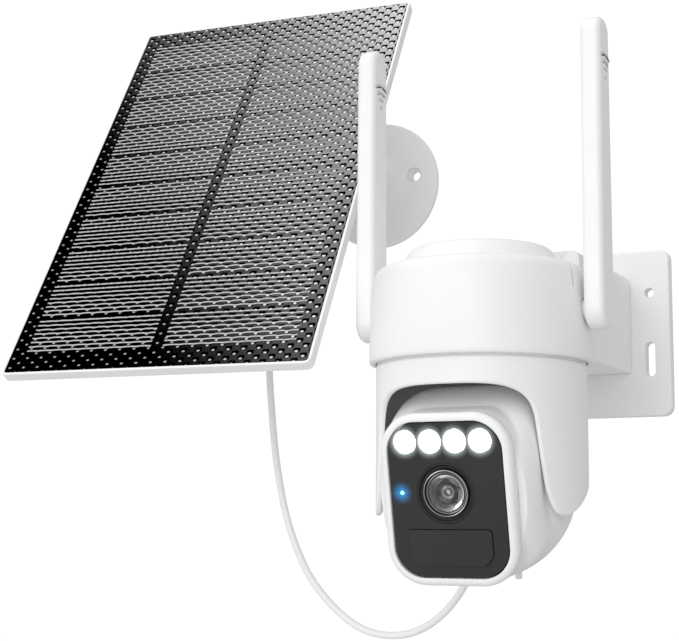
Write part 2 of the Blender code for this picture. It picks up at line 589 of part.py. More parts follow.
def build_head_inside(head, metal, dark, seal, card, shell):
    """Tilt motor, speaker, microphone, port block, buttons, memory card and the port flap."""
    pitch = TILT_GEAR[0] * (TILT_GEAR[1] + TILT_GEAR[2]) / 2
    motor = lathe([(1.9, 19.0), (3.6, 19.0), (3.6, 18.0), (8.2, 18.0), (8.2, 5.0), (0, 5.0), (0, 17.0),
                   (1.9, 17.0)], 18)
    add("tilt_motor", across(motor), head, metal, (0, pitch, 0))
    add("speaker", facing(cylinder(9.5, -22.0, -17.0, 20)), head, dark, (-12.5, 0, -1.0))
    x, y = MICROPHONE
    add("microphone", cylinder(2.0, 33.4, 35.2, 16), head, metal, (x, y, 0))
    x, y, z = PORT
    low = z + 5.6
    block_mesh = block((PORT_SIZE[0] - 3, PORT_SIZE[1] - 1, 6.0), 2.0, (x, y, low + 3.0))
    ports = add("port_block", block_mesh, head, dark)
    for index, dx in enumerate((-10.5, 10.5)):
        well = helper(f"button_well_{index}", cylinder(1.9, -60, low + 4.5, 16), head, (x + dx, y, 0))
        combine(ports, "DIFFERENCE", well)
        button = lathe([(0, low - 1.0), (1.5, low - 1.0), (1.5, low + 3.2), (0, low + 3.2)], 16)
        add(("reset_button", "power_button")[index], button, head, seal, (x + dx, y, 0))
    slot = helper("card_slot", block((11.8, 1.8, 30), 0, (x, y, low - 5)), head)
    combine(ports, "DIFFERENCE", slot)
    add("memory_card", block((11.0, 1.0, 9.0), 0, (x, y, low + 4.0)), head, card)
    flap = add("port_flap", lathe(ball_cap_profile(), 28), head, shell)
    outline = block((PORT_SIZE[0], PORT_SIZE[1] - 0.5, 20), 2.2, (x, y + 0.25, z))
    combine(flap, "INTERSECT", helper("flap_outline", outline, head))
    tab = helper("flap_tab", block((2.6, 3.0, 4.0), 0.8, (16.4, -9.0, -36.4)), head)
    combine(flap, "UNION", tab)


def ball_cap_profile():
    """The lower part of the ball's skin, one flap thick, as a profile with two poles."""
    profile = []
    for radius, angles in ((BALL_R, range(0, 45, 6)), (BALL_R - 1.3, range(42, -1, -6))):
        for degrees in angles:
            angle = math.radians(degrees)
            profile.append((radius * math.sin(angle), -radius * math.cos(angle)))
    profile[0], profile[-1] = (0, -BALL_R), (0, 1.3 - BALL_R)
    return profile


# ---------------------------------------------------------------- antennas


def build_antenna(camera, word, side, shell):
    """A paddle antenna on a hub that plugs into the housing's side."""
    width, depth, length = ANTENNA_SIZE
    low, high = -ANTENNA_BELOW_PIVOT, length - ANTENNA_BELOW_PIVOT
    pivot = frame(f"antenna_{word}_axis", camera, (side * ANTENNA_X, 0.3, ANTENNA_Z))
    outline = []
    for i in range(9):
        angle = math.pi * (1 + i / 8)
        outline.append((depth / 2 * math.cos(angle), low + depth / 2 + depth / 2 * math.sin(angle)))
    top = depth * 0.86
    for i in range(9):
        angle = math.pi * i / 8
        outline.append((top / 2 * math.cos(angle), high - top / 2 + top / 2 * math.sin(angle)))
    blade = across(prism([(-z, y) for y, z in outline], -width / 2, width / 2))
    antenna = add(f"antenna_{word}", blade, pivot, shell)
    bevel = antenna.modifiers.new("round", "BEVEL")
    bevel.width, bevel.segments = 2.6 * MM, 3
    bevel.limit_method, bevel.angle_limit = "ANGLE", math.radians(50)
    turn = (0, 0, 0) if side > 0 else (0, 0, 180)
    spindle = across(cylinder(4.6, HOUSING_R - 8.0 - ANTENNA_X, -width / 2 + 1.5, 16))
    combine(antenna, "UNION", helper(f"antenna_spindle_{word}", spindle, pivot, (0, 0, 0), turn))


# ---------------------------------------------------------------- solar panel


def build_solar_bracket(world, shell, steel, seal):
    """The round wall base with its neck and arm, ending in a fork for the swivel."""
    disc = [(0, 0), (SOLAR_BASE_R, 0), (SOLAR_BASE_R, 2.2), (SOLAR_BASE_R - 0.8, 2.9), (14.5, 7.0),
            (12.0, 9.5), (11.0, 16.0), (0, 16.0)]
    base = add("solar_base", facing(lathe(disc, 40)), world, shell, SOLAR_BASE)
    for index in range(3):
        angle = math.radians(8 + 120 * index)
        place = (SOLAR_BASE[0] + 22 * math.cos(angle), 0, SOLAR_BASE[2] + 22 * math.sin(angle))
        way = facing(lathe([(0, -5), (2.5, -5), (2.5, 2.6), (4.1, 2.8), (4.1, 20), (0, 20)], 14))
        combine(base, "DIFFERENCE", helper(f"base_hole_{index}", way, world, place))
    swivel = swivel_place()
    neck = Vector((SOLAR_BASE[0], -11.0, SOLAR_BASE[2]))
    along = swivel + Vector((1.5, 19.0, 2.0)) - neck
    turn = along.to_track_quat("Z", "Y").to_matrix().to_4x4()
    arm = turned(cylinder(7.5, 0, along.length, 16), turn)
    elbow = lathe([(0, -9), (6, -7.4), (9, 0), (6, 7.4), (0, 9)], 16)
    fork = block((18, 32, 28), 3)
    combine(base, "UNION", helper("base_arm", arm, world, neck), helper("base_elbow", elbow, world, neck),
            helper("fork_block", fork, world, swivel + Vector((0.4, 9.0, 0))))
    combine(base, "DIFFERENCE", helper("fork_gap", block((30, 17.2, 16.6), 0), world, swivel),
            helper("fork_bore", cylinder(2.6, -30, 30, 20), world, swivel))
    gland = Vector(SOLAR_GLAND)
    combine(base, "UNION", helper("gland_boss", cylinder(6.6, 0.0, 9.0, 20), world, gland))
    combine(base, "DIFFERENCE", helper("gland_bore", cylinder(4.0, -5.0, 7.0, 20), world, gland))
    build_gland("solar_gland", world, seal, gland)
    pin = lathe([(0, -15.2), (4.2, -15.2), (4.2, -14.3), (2.4, -14.2), (2.4, 14.6), (0, 14.6)], 20)
    add("swivel_pin", pin, world, steel, swivel)


def swivel_place():
    """The upright swivel axis' middle, behind the pitch pin and a little above it."""
    turn = math.radians(SOLAR_TURN)
    return Vector(SOLAR_PIVOT) + Vector((-SWIVEL_BEHIND * math.sin(turn), SWIVEL_BEHIND * math.cos(turn),
                                         SWIVEL_ABOVE))


def build_swivel(swivel, dark):
    """The knuckle: an upright barrel in the arm's fork, and a cross barrel for the panel's pitch pin."""
    body = add("swivel_knuckle", cylinder(7.6, -8.0, 8.0, 20), swivel, dark)
    web = block((9.0, SWIVEL_BEHIND - 2, 11.0), 0, (0, -SWIVEL_BEHIND / 2, -1.5))
    barrel = across(cylinder(7.0, -7.6, 7.6, 20))
    combine(body, "UNION", helper("knuckle_web", web, swivel),
            helper("knuckle_barrel", barrel, swivel, (0, -SWIVEL_BEHIND, -SWIVEL_ABOVE)))
    combine(body, "DIFFERENCE", helper("knuckle_bore", cylinder(2.7, -20, 20, 14), swivel),
            helper("pitch_bore", across(cylinder(2.7, -20, 20, 14)), swivel,
                   (0, -SWIVEL_BEHIND, -SWIVEL_ABOVE)))


def build_panel(panel, shell, cells, steel, board):
    """The framed laminate, its rear cover and the hinge box behind it."""
    width, height = GLASS_SIZE
    side = (width + 2 * FRAME_RIM, height + 2 * FRAME_RIM)
    front = -GLASS_Y + 0.4
    rear = front - FRAME_DEPTH
    wall = frame_prism(rounded(*side, 3.0), rounded(width + 0.6, height + 0.6, 2.0), rear, front - 0.4)
    rim = add("panel_frame", facing(wall), panel, shell)
    ledge = frame_prism(rounded(width + 1.4, height + 1.4, 2.0), rounded(width - 8, height - 8, 2.0),
                        rear, rear + 1.4)
    combine(rim, "UNION", helper("frame_ledge", facing(ledge), panel))
    top = -GLASS_Y
    laminate = prism(rounded(width - 0.2, height - 0.2, 1.6), top - LAMINATE, top)
    add("panel_laminate", facing(laminate), panel, cells)
    back_top = rear - GAP
    cover = facing(prism(rounded(width - 14, height - 14, 6.0), back_top - 2.6, back_top))
    add("panel_back", cover, panel, shell)
    box_top = back_top - 2.6 - GAP
    box = add("hinge_box", facing(prism(rounded(58, 46, 6.0), 13.0, box_top)), panel, shell)
    hollow = helper("box_hollow", facing(prism(rounded(52, 40, 4.0), 15.4, box_top + 5)), panel)
    combine(box, "DIFFERENCE", hollow)
    for sign in (-1, 1):
        lug = across(prism(lug_outline(), sign * 10 - 2, sign * 10 + 2))
        combine(box, "UNION", helper(f"lug_{sign}", lug, panel))
    add("charge_board", facing(prism(rounded(40, 30, 2.0), 16.2, 17.8)), panel, board)
    pin = across(lathe([(0, -12.8), (4.2, -12.8), (4.2, -12.3), (2.4, -12.2), (2.4, 12.6), (0, 12.6)], 20))
    combine(box, "DIFFERENCE", helper("lug_bore", across(cylinder(2.7, -20, 20, 14)), panel))
    add("pitch_pin", pin, panel, steel)


def lug_outline():
    """A hinge ear, round at the pin and running forward into the box: X is down, Y is depth."""
    outline = [(-6.0, -14.0), (6.0, -14.0)]
    outline += [(6.4 * math.cos(a), 6.4 * math.sin(a)) for a in (math.pi * i / 8 for i in range(9))]
    return outline


# ---------------------------------------------------------------- the lead


def smooth_route(points, per_span=2):
    """Catmull-Rom points through the route, per_span to each of its spans."""
    ends = [2 * points[0] - points[1], *points, 2 * points[-1] - points[-2]]
    route = []
    for a, b, c, d in zip(ends, ends[1:], ends[2:], ends[3:]):
        for i in range(per_span):
            t = i / per_span
            route.append(0.5 * (2 * b + (c - a) * t + (2 * a - 5 * b + 4 * c - d) * t ** 2
                                + (3 * b - a - 3 * c + d) * t ** 3))
    return route + [points[-1]]


def build_lead(world, white):
    """The lead as one round tube along its route."""
    route = smooth_route([Vector(p) for p in LEAD_ROUTE])
    curve = bpy.data.curves.new("lead", "CURVE")
    curve.dimensions = "3D"
    curve.bevel_depth = LEAD_D / 2 * MM
    curve.bevel_resolution = 2
    curve.use_fill_caps = True
    spline = curve.splines.new("POLY")
    spline.points.add(len(route) - 1)
    for point, place in zip(spline.points, route):
        point.co = (*(place * MM), 1)
    curve.materials.append(white)
    lead = bpy.data.objects.new("solar_lead", curve)
    bpy.context.scene.collection.objects.link(lead)
    lead.parent = world


# ---------------------------------------------------------------- assembly


def main():
    for obj in list(bpy.data.objects):
        bpy.data.objects.remove(obj)
    shell = finish("white_abs", (0.86, 0.86, 0.86), 0.45)
    black = finish("black_gloss_abs", (0.035, 0.036, 0.038), 0.3)
    dark = finish("dark_abs", (0.09, 0.09, 0.1), 0.5)
    steel = finish("zinc_plated_steel", (0.62, 0.63, 0.65), 0.3, 1.0)
    metal = finish("nickel_plated_case", (0.55, 0.55, 0.56), 0.35, 1.0)
    nylon = finish("acetal_gear", (0.8, 0.79, 0.74), 0.5)
    seal = finish("silicone_seal", (0.8, 0.8, 0.79), 0.6)
    board = finish("circuit_board", (0.02, 0.16, 0.08), 0.4)
    cell = finish("battery_sleeve", (0.05, 0.2, 0.5), 0.4)
    clear = finish("light_lens", (1.0, 1.0, 1.0), 0.15, glow=4.0)
    blue = finish("status_lens", (0.1, 0.5, 1.0), 0.2, glow=4.0)
    lens = finish("lens_barrel_black", (0.05, 0.05, 0.055), 0.35)
    glass = finish("lens_glass", (0.12, 0.12, 0.14), 0.05)
    cells = finish("solar_laminate", (0.02, 0.02, 0.022), 0.3)
    card = finish("memory_card", (0.04, 0.04, 0.05), 0.4)
    led = finish("sensor_can", (0.7, 0.7, 0.68), 0.3)

    world = frame("wall", None, (0, 0, 0))
    camera = frame("camera_axis", world, PAN_ORIGIN)
    pan = frame("pan_axis", camera, (0, 0, 0), (0, 0, PAN_AT_REST))
    head = frame("tilt_axis", pan, (0, 0, TILT_Z), (TILT_AT_REST, 0, 0))
    swivel = frame("swivel_axis", world, swivel_place(), (0, 0, SOLAR_TURN))
    panel = frame("pitch_axis", world, SOLAR_PIVOT, (SOLAR_LEAN, 0, SOLAR_TURN))

    build_wall_plate(world, shell, steel)
    build_wall_arm(camera, shell)
    build_gland("camera_gland", camera, seal, (0, 85.4, ARM_LOW))
    build_housing(camera, shell, seal)
    build_chassis(camera, board, steel, cell, metal, dark)
    build_yoke(pan, shell, steel, nylon, dark)
    build_pinions(camera, head, nylon)
    build_head_shell(head, shell)
    build_face(head, black, clear, lens, glass, board, led, blue)
    build_head_inside(head, metal, dark, seal, card, shell)
    for word, side in (("left", -1), ("right", 1)):
        build_antenna(camera, word, side, shell)
    build_solar_bracket(world, shell, steel, seal)
    build_swivel(swivel, dark)
    build_panel(panel, shell, cells, steel, board)
    build_lead(world, seal)


main()
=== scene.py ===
"""Looks for the solar-powered pan-tilt security camera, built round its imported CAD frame.

Row frame: metres, +X to the viewer's right, +Y into the wall, +Z up. Sizes held by the classes are
in millimetres, and become metres where a piece is put into the scene.
"""

import logging
import math
from dataclasses import dataclass
from enum import Enum

import bmesh
import bpy
import numpy as np
from mathutils import Euler, Matrix, Vector

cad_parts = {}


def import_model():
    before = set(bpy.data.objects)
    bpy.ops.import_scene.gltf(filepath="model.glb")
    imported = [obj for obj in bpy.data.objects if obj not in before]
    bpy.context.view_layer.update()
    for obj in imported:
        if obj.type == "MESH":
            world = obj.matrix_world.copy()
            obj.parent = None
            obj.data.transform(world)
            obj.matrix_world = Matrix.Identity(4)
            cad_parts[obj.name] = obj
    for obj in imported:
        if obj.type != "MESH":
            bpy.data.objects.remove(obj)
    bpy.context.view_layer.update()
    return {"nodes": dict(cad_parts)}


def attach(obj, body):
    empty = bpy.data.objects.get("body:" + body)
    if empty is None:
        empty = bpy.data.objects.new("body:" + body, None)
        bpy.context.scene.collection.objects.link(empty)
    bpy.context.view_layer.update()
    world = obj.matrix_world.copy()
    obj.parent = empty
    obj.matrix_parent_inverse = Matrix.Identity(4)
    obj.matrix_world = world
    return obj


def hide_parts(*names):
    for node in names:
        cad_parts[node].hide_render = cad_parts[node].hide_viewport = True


MM = 0.001
LOG = logging.getLogger("camera_looks")


# ------------------------------------------------------------------ places


def placed(origin: tuple, turn: tuple = (0.0, 0.0, 0.0)) -> Matrix:
    """A place as a matrix in millimetres.

    Args:
        origin: the place's origin in its parent.
        turn: angles about X, Y and Z in degrees.

    Returns:
        The 4 x 4 matrix that carries local points into the parent.
    """
    angles = [math.radians(angle) for angle in turn]
    return Matrix.Translation(Vector(origin)) @ Euler(angles).to_matrix().to_4x4()


SOLAR_PIVOT, SOLAR_TURN, SOLAR_LEAN = (-147.5, -76.9, 60.2), 5.45, -32.4
SOLAR_GLAND = (-146.5, -48.4, 43.0)
CAMERA_GLAND = (0.0, -33.0, -19.5)
ANTENNA_SEAT = (0.3, 21.0)
CAMERA = placed((0.0, -118.4, -25.8))
PAN = CAMERA @ placed((0.0, 0.0, 0.0), (0.0, 0.0, 2.0))
HEAD = PAN @ placed((0.0, 0.0, -50.5), (12.34, 0.0, 0.0))
PANEL = placed(SOLAR_PIVOT, (SOLAR_LEAN, 0.0, SOLAR_TURN))
SWIVEL = placed(SOLAR_PIVOT, (0.0, 0.0, SOLAR_TURN)) @ placed((0.0, 16.0, 3.0))


def half_turn(side: int) -> Matrix:
    """No turn for side 1, half a turn about the upright axis for side -1."""
    return placed((0, 0, 0), (0, 0, 0 if side > 0 else 180))


class Facing(Enum):
    """Which way a shape drawn as (across, up, depth) is laid: the order and sign of its axes."""

    UP = ((0, 1), (1, 1), (2, 1))
    FRONT = ((0, 1), (2, -1), (1, 1))
    SIDE = ((2, 1), (0, 1), (1, 1))


# ------------------------------------------------------------------ drafts of surfaces


def softened(corners: list, radii: float | list, steps: int = 7, closed: bool = True) -> np.ndarray:
    """A line with its corners rounded.

    Each corner gives way to a quadratic curve from the point one radius before it to the point one
    radius after it, with the corner as its control point.

    Args:
        corners: the line's corners, (n, 2).
        radii: how far from each corner its curve starts, one value or one for each.
        steps: points on each curve.
        closed: whether the last corner joins the first.

    Returns:
        The rounded line's points, (m, 2).
    """
    at = np.asarray(corners, float)
    reach = np.broadcast_to(np.asarray(radii, float), (len(at),)).copy()
    if not closed:
        reach[[0, -1]] = 0.0
    ends = []
    for shift in (1, -1):
        way = np.roll(at, shift, 0) - at
        size = np.linalg.norm(way, axis=1)
        ends.append(at + way / size[:, None] * np.minimum(reach, size * 0.499)[:, None])
    t = np.linspace(0, 1, steps)[None, :, None]
    curve = (1 - t) ** 2 * ends[0][:, None] + 2 * t * (1 - t) * at[:, None] + t ** 2 * ends[1][:, None]
    points = curve.reshape(-1, 2)
    keep = np.linalg.norm(points - np.roll(points, 1, 0), axis=1) > 1e-6
    return points[keep | ((np.arange(len(points)) == 0) & (not closed))]


def through(points: list, per_span: int) -> np.ndarray:
    """A smooth line through points: Catmull-Rom cubics, one for each span.

    Args:
        points: the points, (n, d).
        per_span: points made on each span.

    Returns:
        The line's points.
    """
    at = np.asarray(points, float)
    full = np.vstack([2 * at[0] - at[1], at, 2 * at[-1] - at[-2]])
    a, b, c, d = (full[i:len(full) - 3 + i, None] for i in range(4))
    t = np.arange(per_span)[None, :, None] / per_span
    curve = 0.5 * (2 * b + (c - a) * t + (2 * a - 5 * b + 4 * c - d) * t ** 2
                   + (3 * b - a - 3 * c + d) * t ** 3)
    return np.vstack([curve.reshape(-1, at.shape[1]), at[-1:]])


def rounded(width: float, height: float, corner: float, centre: tuple = (0.0, 0.0),
            steps: int = 12) -> np.ndarray:
    """A rectangle's outline with round corners: each corner point is its arc's centre plus the
    radius times (cosine, sine).

    Args:
        width: full width.
        height: full height.
        corner: corner radius.
        centre: middle of the rectangle.
        steps: spans on each quarter arc.

    Returns:
        The outline's points, anticlockwise, (4 * (steps + 1), 2).
    """
    angle = np.linspace(0, math.pi / 2, steps + 1)[None, :] + np.arange(4)[:, None] * math.pi / 2
    signs = np.array([(1, 1), (-1, 1), (-1, -1), (1, -1)])
    x = centre[0] + signs[:, :1] * (width / 2 - corner) + corner * np.cos(angle)
    y = centre[1] + signs[:, 1:] * (height / 2 - corner) + corner * np.sin(angle)
    return np.stack([x.ravel(), y.ravel()], axis=1)


def inset_line(outline: np.ndarray, inset: float) -> np.ndarray:
    """An outline moved inwards along its own normals: each normal is the turned chord between the
    point's two neighbours.

    Args:
        outline: the outline's points, anticlockwise, (n, 2).
        inset: how far to move it; less than 0 moves it outwards.

    Returns:
        The moved points, (n, 2).
    """
    chord = np.roll(outline, -1, 0) - np.roll(outline, 1, 0)
    normal = np.stack([-chord[:, 1], chord[:, 0]], axis=1)
    return outline + normal / np.linalg.norm(normal, axis=1)[:, None] * inset


class Draft:
    """A surface being drawn: points in millimetres and the faces between them."""

    def __init__(self) -> None:
        """Starts with nothing drawn."""
        self.points: list[np.ndarray] = []
        self.faces: list[list] = []
        self.count = 0

    def grid(self, points: np.ndarray, wrap: bool = True, loop: bool = False,
             caps: tuple = (False, False)) -> "Draft":
        """Adds a sheet of quads over a grid of points.

        Args:
            points: rows of points, (rows, columns, 3).
            wrap: whether the last column joins the first.
            loop: whether the last row joins the first.
            caps: whether the first and last rows are closed by a fan to their middle.

        Returns:
            The draft.
        """
        rows, columns = points.shape[:2]
        index = self.count + np.arange(rows * columns).reshape(rows, columns)
        if wrap:
            index = np.hstack([index, index[:, :1]])
        if loop:
            index = np.vstack([index, index[:1]])
        near, far = index[:-1], index[1:]
        quads = np.stack([near[:, :-1], near[:, 1:], far[:, 1:], far[:, :-1]], axis=-1).reshape(-1, 4)
        self.faces += quads.tolist()
        self.points.append(points.reshape(-1, 3))
        self.count += rows * columns
        for wanted, row, ring in zip(caps, (0, -1), (index[0], index[-1])):
            if wanted:
                self.points.append(points[row].mean(0)[None])
                hub = np.full(len(ring) - 1, self.count)
                self.faces += np.stack([ring[:-1], ring[1:], hub], axis=-1).tolist()
                self.count += 1
        return self

    def lathe(self, profile: np.ndarray, steps: int = 128, centre: tuple = (0.0, 0.0)) -> "Draft":
        """Turns a closed profile about the upright axis: each of its points becomes a ring of radius
        times (cosine, sine).

        Args:
            profile: (radius, height) points, (n, 2).
            steps: points on each ring.
            centre: where the axis stands.

        Returns:
            The draft.
        """
        angle = np.arange(steps) * 2 * math.pi / steps
        radius, height = profile[:, :1], profile[:, 1:]
        ring = [centre[0] + radius * np.cos(angle), centre[1] + radius * np.sin(angle),
                np.broadcast_to(height, (len(profile), steps))]
        return self.grid(np.stack(ring, axis=-1), loop=True)

    def stack(self, outline: np.ndarray, section: list, hole: np.ndarray | None = None) -> "Draft":
        """Stands an outline up as a solid with shaped edges.

        Each (inset, height) of the section gives one ring: the outline moved inwards by the inset,
        at that height. Without a hole the ends are closed; with one, its outline, which has as many
        points, goes back down from the last height to the first.

        Args:
            outline: the outer outline, (n, 2).
            section: (inset, height) pairs from the first end to the other.
            hole: the hole's outline, (n, 2).

        Returns:
            The draft.
        """
        rings = [np.column_stack([inset_line(outline, inset), np.full(len(outline), height)])
                 for inset, height in section]
        if hole is None:
            return self.grid(np.array(rings), caps=(True, True))
        rings += [np.column_stack([hole, np.full(len(hole), section[i][1])]) for i in (-1, 0)]
        return self.grid(np.array(rings), loop=True)

    def rings(self, lines: list) -> "Draft":
        """Joins outlines with equally many points, the last to the first, into a ring-shaped solid.

        Args:
            lines: (outline, inset, height) in order round the section.

        Returns:
            The draft.
        """
        return self.grid(np.array([np.column_stack([inset_line(line, inset), np.full(len(line), height)])
                                   for line, inset, height in lines]), loop=True)

    def bar(self, radius: float, low: float, high: float, steps: int = 48) -> "Draft":
        """A plain round bar along the upright axis, for cutting with."""
        return self.lathe(np.array([(0, low), (radius, low), (radius, high), (0, high)], float), steps)

    def laid(self, facing: Facing) -> "Draft":
        """Lays the whole draft down: reorders and flips its axes as the facing says."""
        self.points = [np.stack([p[:, axis] * sign for axis, sign in facing.value], axis=1)
                       for p in self.points]
        return self

    def moved(self, *matrices: Matrix) -> "Draft":
        """Carries the draft through each matrix in turn: rotation times point, plus translation.

        Args:
            matrices: the places, innermost first.

        Returns:
            The draft.
        """
        for matrix in matrices:
            m = np.array(matrix)
            self.points = [p @ m[:3, :3].T + m[:3, 3] for p in self.points]
        return self

    def mesh(self, name: str) -> bpy.types.Mesh:
        """The draft as a closed mesh in metres, doubles merged and faces turned outwards.

        Args:
            name: the mesh's name.

        Returns:
            The mesh.
        """
        made = bpy.data.meshes.new(name)
        made.from_pydata(np.vstack(self.points) * MM, [], self.faces)
        shape = bmesh.new()
        shape.from_mesh(made)
        bmesh.ops.remove_doubles(shape, verts=shape.verts, dist=1e-6)
        bmesh.ops.recalc_face_normals(shape, faces=shape.faces)
        shape.to_mesh(made)
        shape.free()
        return made


class Cut(Enum):
    """What a helper shape does to a piece."""

    AWAY = "DIFFERENCE"
    ON = "UNION"
    WITHIN = "INTERSECT"


def shaped(piece: bpy.types.Object, *steps: tuple) -> bpy.types.Object:
    """Cuts or joins helper shapes, leaves the result in the piece's own mesh and drops the helpers.

    Args:
        piece: the piece to change.
        steps: pairs of Cut and Draft, in order.

    Returns:
        The piece.
    """
    helpers = []
    for number, (kind, draft) in enumerate(steps):
        helper = bpy.data.objects.new(f"helper_{number}", draft.mesh("helper"))
        bpy.context.scene.collection.objects.link(helper)
        modifier = piece.modifiers.new("shape", "BOOLEAN")
        modifier.operation, modifier.solver, modifier.object = kind.value, "EXACT", helper
        helpers.append(helper)
    ready = piece.evaluated_get(bpy.context.evaluated_depsgraph_get())
    piece.data = bpy.data.meshes.new_from_object(ready)
    piece.modifiers.clear()
    for helper in helpers:
        bpy.data.objects.remove(helper)
    return piece


def put(name: str, draft: Draft, finish: "Finish", body: str, replaces: tuple = (),
        cuts: tuple = (), crease: float = 34.0, flat: bool = False) -> bpy.types.Object:
    """Puts a draft into the scene as a finished piece.

    Args:
        name: the piece's name.
        draft: its surface in the row frame, in millimetres.
        finish: what it is made of.
        body: the CAD body that it rides on.
        replaces: CAD nodes that it stands for.
        cuts: pairs of Cut and Draft.
        crease: edges bent by more than this many degrees stay sharp.
        flat: whether broad flat faces should keep even shading.

    Returns:
        The piece.
    """
    piece = bpy.data.objects.new(name, draft.mesh(name))
    bpy.context.scene.collection.objects.link(piece)
    if cuts:
        shaped(piece, *cuts)
    piece.data.name = name
    piece.data.materials.clear()
    piece.data.materials.append(finish.material())
    piece.data.shade_smooth()
    piece.data.set_sharp_from_angle(angle=math.radians(crease))
    if flat:
        even = piece.modifiers.new("even_flats", "WEIGHTED_NORMAL")
        even.keep_sharp = True
    if replaces:
        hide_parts(*replaces)
    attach(piece, body)
    LOG.info("%s: %d faces, rides on %s", name, len(piece.data.polygons), body)
    return piece


# ------------------------------------------------------------------ finishes


def linear(code: str) -> tuple[float, float, float, float]:
    """Turns an sRGB hex colour to linear: the standard's straight foot, then its power of 2.4.

    Args:
        code: the colour, such as #ffffff.

    Returns:
        The linear colour with full alpha.
    """
    channels = np.array([int(code[i:i + 2], 16) for i in (1, 3, 5)]) / 255
    straight = np.where(channels <= 0.04045, channels / 12.92, ((channels + 0.055) / 1.055) ** 2.4)
    return (*straight.tolist(), 1.0)


def add_node(tree: bpy.types.NodeTree, kind: str, settings: dict | None = None,
             values: dict | None = None, links: dict | None = None) -> bpy.types.Node:
    """Adds one node.

    Args:
        tree: the node tree.
        kind: the node's type, without its ShaderNode prefix.
        settings: the node's own properties.
        values: values for its inputs, by name or number.
        links: outputs to join to its inputs, by name or number.

    Returns:
        The node.
    """
    node = tree.nodes.new(f"ShaderNode{kind}")
    for key, value in (settings or {}).items():
        setattr(node, key, value)
    for key, value in (values or {}).items():
        node.inputs[key].default_value = value
    for key, output in (links or {}).items():
        tree.links.new(output, node.inputs[key])
    return node


class Sums:
    """Short sums in a node tree, so that a pattern reads as a formula."""

    def __init__(self, tree: bpy.types.NodeTree) -> None:
        """Works in this tree."""
        self.tree = tree

    def __call__(self, operation: str, *terms: object, clamp: bool = False) -> bpy.types.NodeSocket:
        """One sum.

        Args:
            operation: the Math node's operation.
            terms: numbers, or other nodes' outputs.
            clamp: whether the result is kept between 0 and 1.

        Returns:
            The result's output.
        """
        numbers = {i: t for i, t in enumerate(terms) if isinstance(t, (int, float))}
        outputs = {i: t for i, t in enumerate(terms) if not isinstance(t, (int, float))}
        node = add_node(self.tree, "Math", {"operation": operation, "use_clamp": clamp}, numbers, outputs)
        return node.outputs[0]

    def step(self, value: object, low: float, high: float) -> bpy.types.NodeSocket:
        """A smooth step from 0 to 1.

        Args:
            value: what is read.
            low: the value that gives 0, which may be the larger.
            high: the value that gives 1.

        Returns:
            The step's output.
        """
        node = add_node(self.tree, "MapRange", {"interpolation_type": "SMOOTHSTEP"},
                        {1: low, 2: high, 3: 0.0, 4: 1.0}, {0: value})
        return node.outputs[0]


@dataclass(frozen=True)
class Finish:
    """A material made one way: its colours, gloss and the grain of its surface.

    The grain is the distance between its peaks in millimetres, and the relief their height.
    """

    name: str
    colour: str
    shade: str
    roughness: float
    spread: float = 0.05
    grain: float = 0.6
    relief: float = 0.012
    drift: float = 35.0
    metallic: float = 0.0
    specular: float = 0.5
    coat: float = 0.0
    coat_roughness: float = 0.1
    glow: float = 0.0
    clear: float = 0.0

    def material(self) -> bpy.types.Material:
        """The finish's material, made once and then shared.

        Returns:
            The material.
        """
        ready = bpy.data.materials.get(self.name)
        if ready:
            return ready
        made = bpy.data.materials.new(self.name)
        made.use_nodes = True
        shader = made.node_tree.nodes["Principled BSDF"]
        for key, value in {"Metallic": self.metallic, "Specular IOR Level": self.specular,
                           "Coat Weight": self.coat, "Coat Roughness": self.coat_roughness,
                           "Transmission Weight": self.clear, "Emission Strength": self.glow,
                           "Emission Color": linear(self.colour)}.items():
            shader.inputs[key].default_value = value
        self.dress(made.node_tree, shader)
        return made

    def dress(self, tree: bpy.types.NodeTree, shader: bpy.types.Node) -> None:
        """Colour that drifts slowly between two tones, gloss that drifts with it, and a fine grain.

        Args:
            tree: the material's node tree.
            shader: its Principled shader.
        """
        where = add_node(tree, "TexCoord").outputs["Object"]
        slow = add_node(tree, "TexNoise", {}, {"Scale": 1000 / self.drift, "Detail": 3.0}, {"Vector": where})
        tone = add_node(tree, "MapRange", {"interpolation_type": "SMOOTHSTEP"},
                        {1: 0.35, 2: 0.65, 3: 0.0, 4: 1.0}, {0: slow.outputs[0]})
        colour = add_node(tree, "Mix", {"data_type": "RGBA"},
                          {6: linear(self.colour), 7: linear(self.shade)}, {0: tone.outputs[0]})
        tree.links.new(colour.outputs[2], shader.inputs["Base Color"])
        fine = add_node(tree, "TexNoise", {}, {"Scale": 1000 / self.grain, "Detail": 2.0}, {"Vector": where})
        gloss = add_node(tree, "MapRange", {}, {1: 0.3, 2: 0.7, 3: self.roughness - self.spread,
                                                4: self.roughness + self.spread}, {0: fine.outputs[0]})
        tree.links.new(gloss.outputs[0], shader.inputs["Roughness"])
        bump = add_node(tree, "Bump", {}, {"Strength": 1.0, "Distance": self.relief * MM},
                        {"Height": fine.outputs[0]})
        tree.links.new(bump.outputs[0], shader.inputs["Normal"])


def local_mm(tree: bpy.types.NodeTree, place: Matrix) -> list:
    """A place's own coordinates in millimetres, from Object coordinates.

    Args:
        tree: the material's node tree.
        place: the place, in millimetres.

    Returns:
        The x, y and z outputs.
    """
    where = add_node(tree, "TexCoord").outputs["Object"]
    turned = add_node(tree, "Mapping", {"vector_type": "TEXTURE"},
                      {"Location": place.translation * MM, "Rotation": place.to_euler(),
                       "Scale": (MM, MM, MM)}, {"Vector": where})
    return list(add_node(tree, "SeparateXYZ", {}, {}, {0: turned.outputs[0]}).outputs)


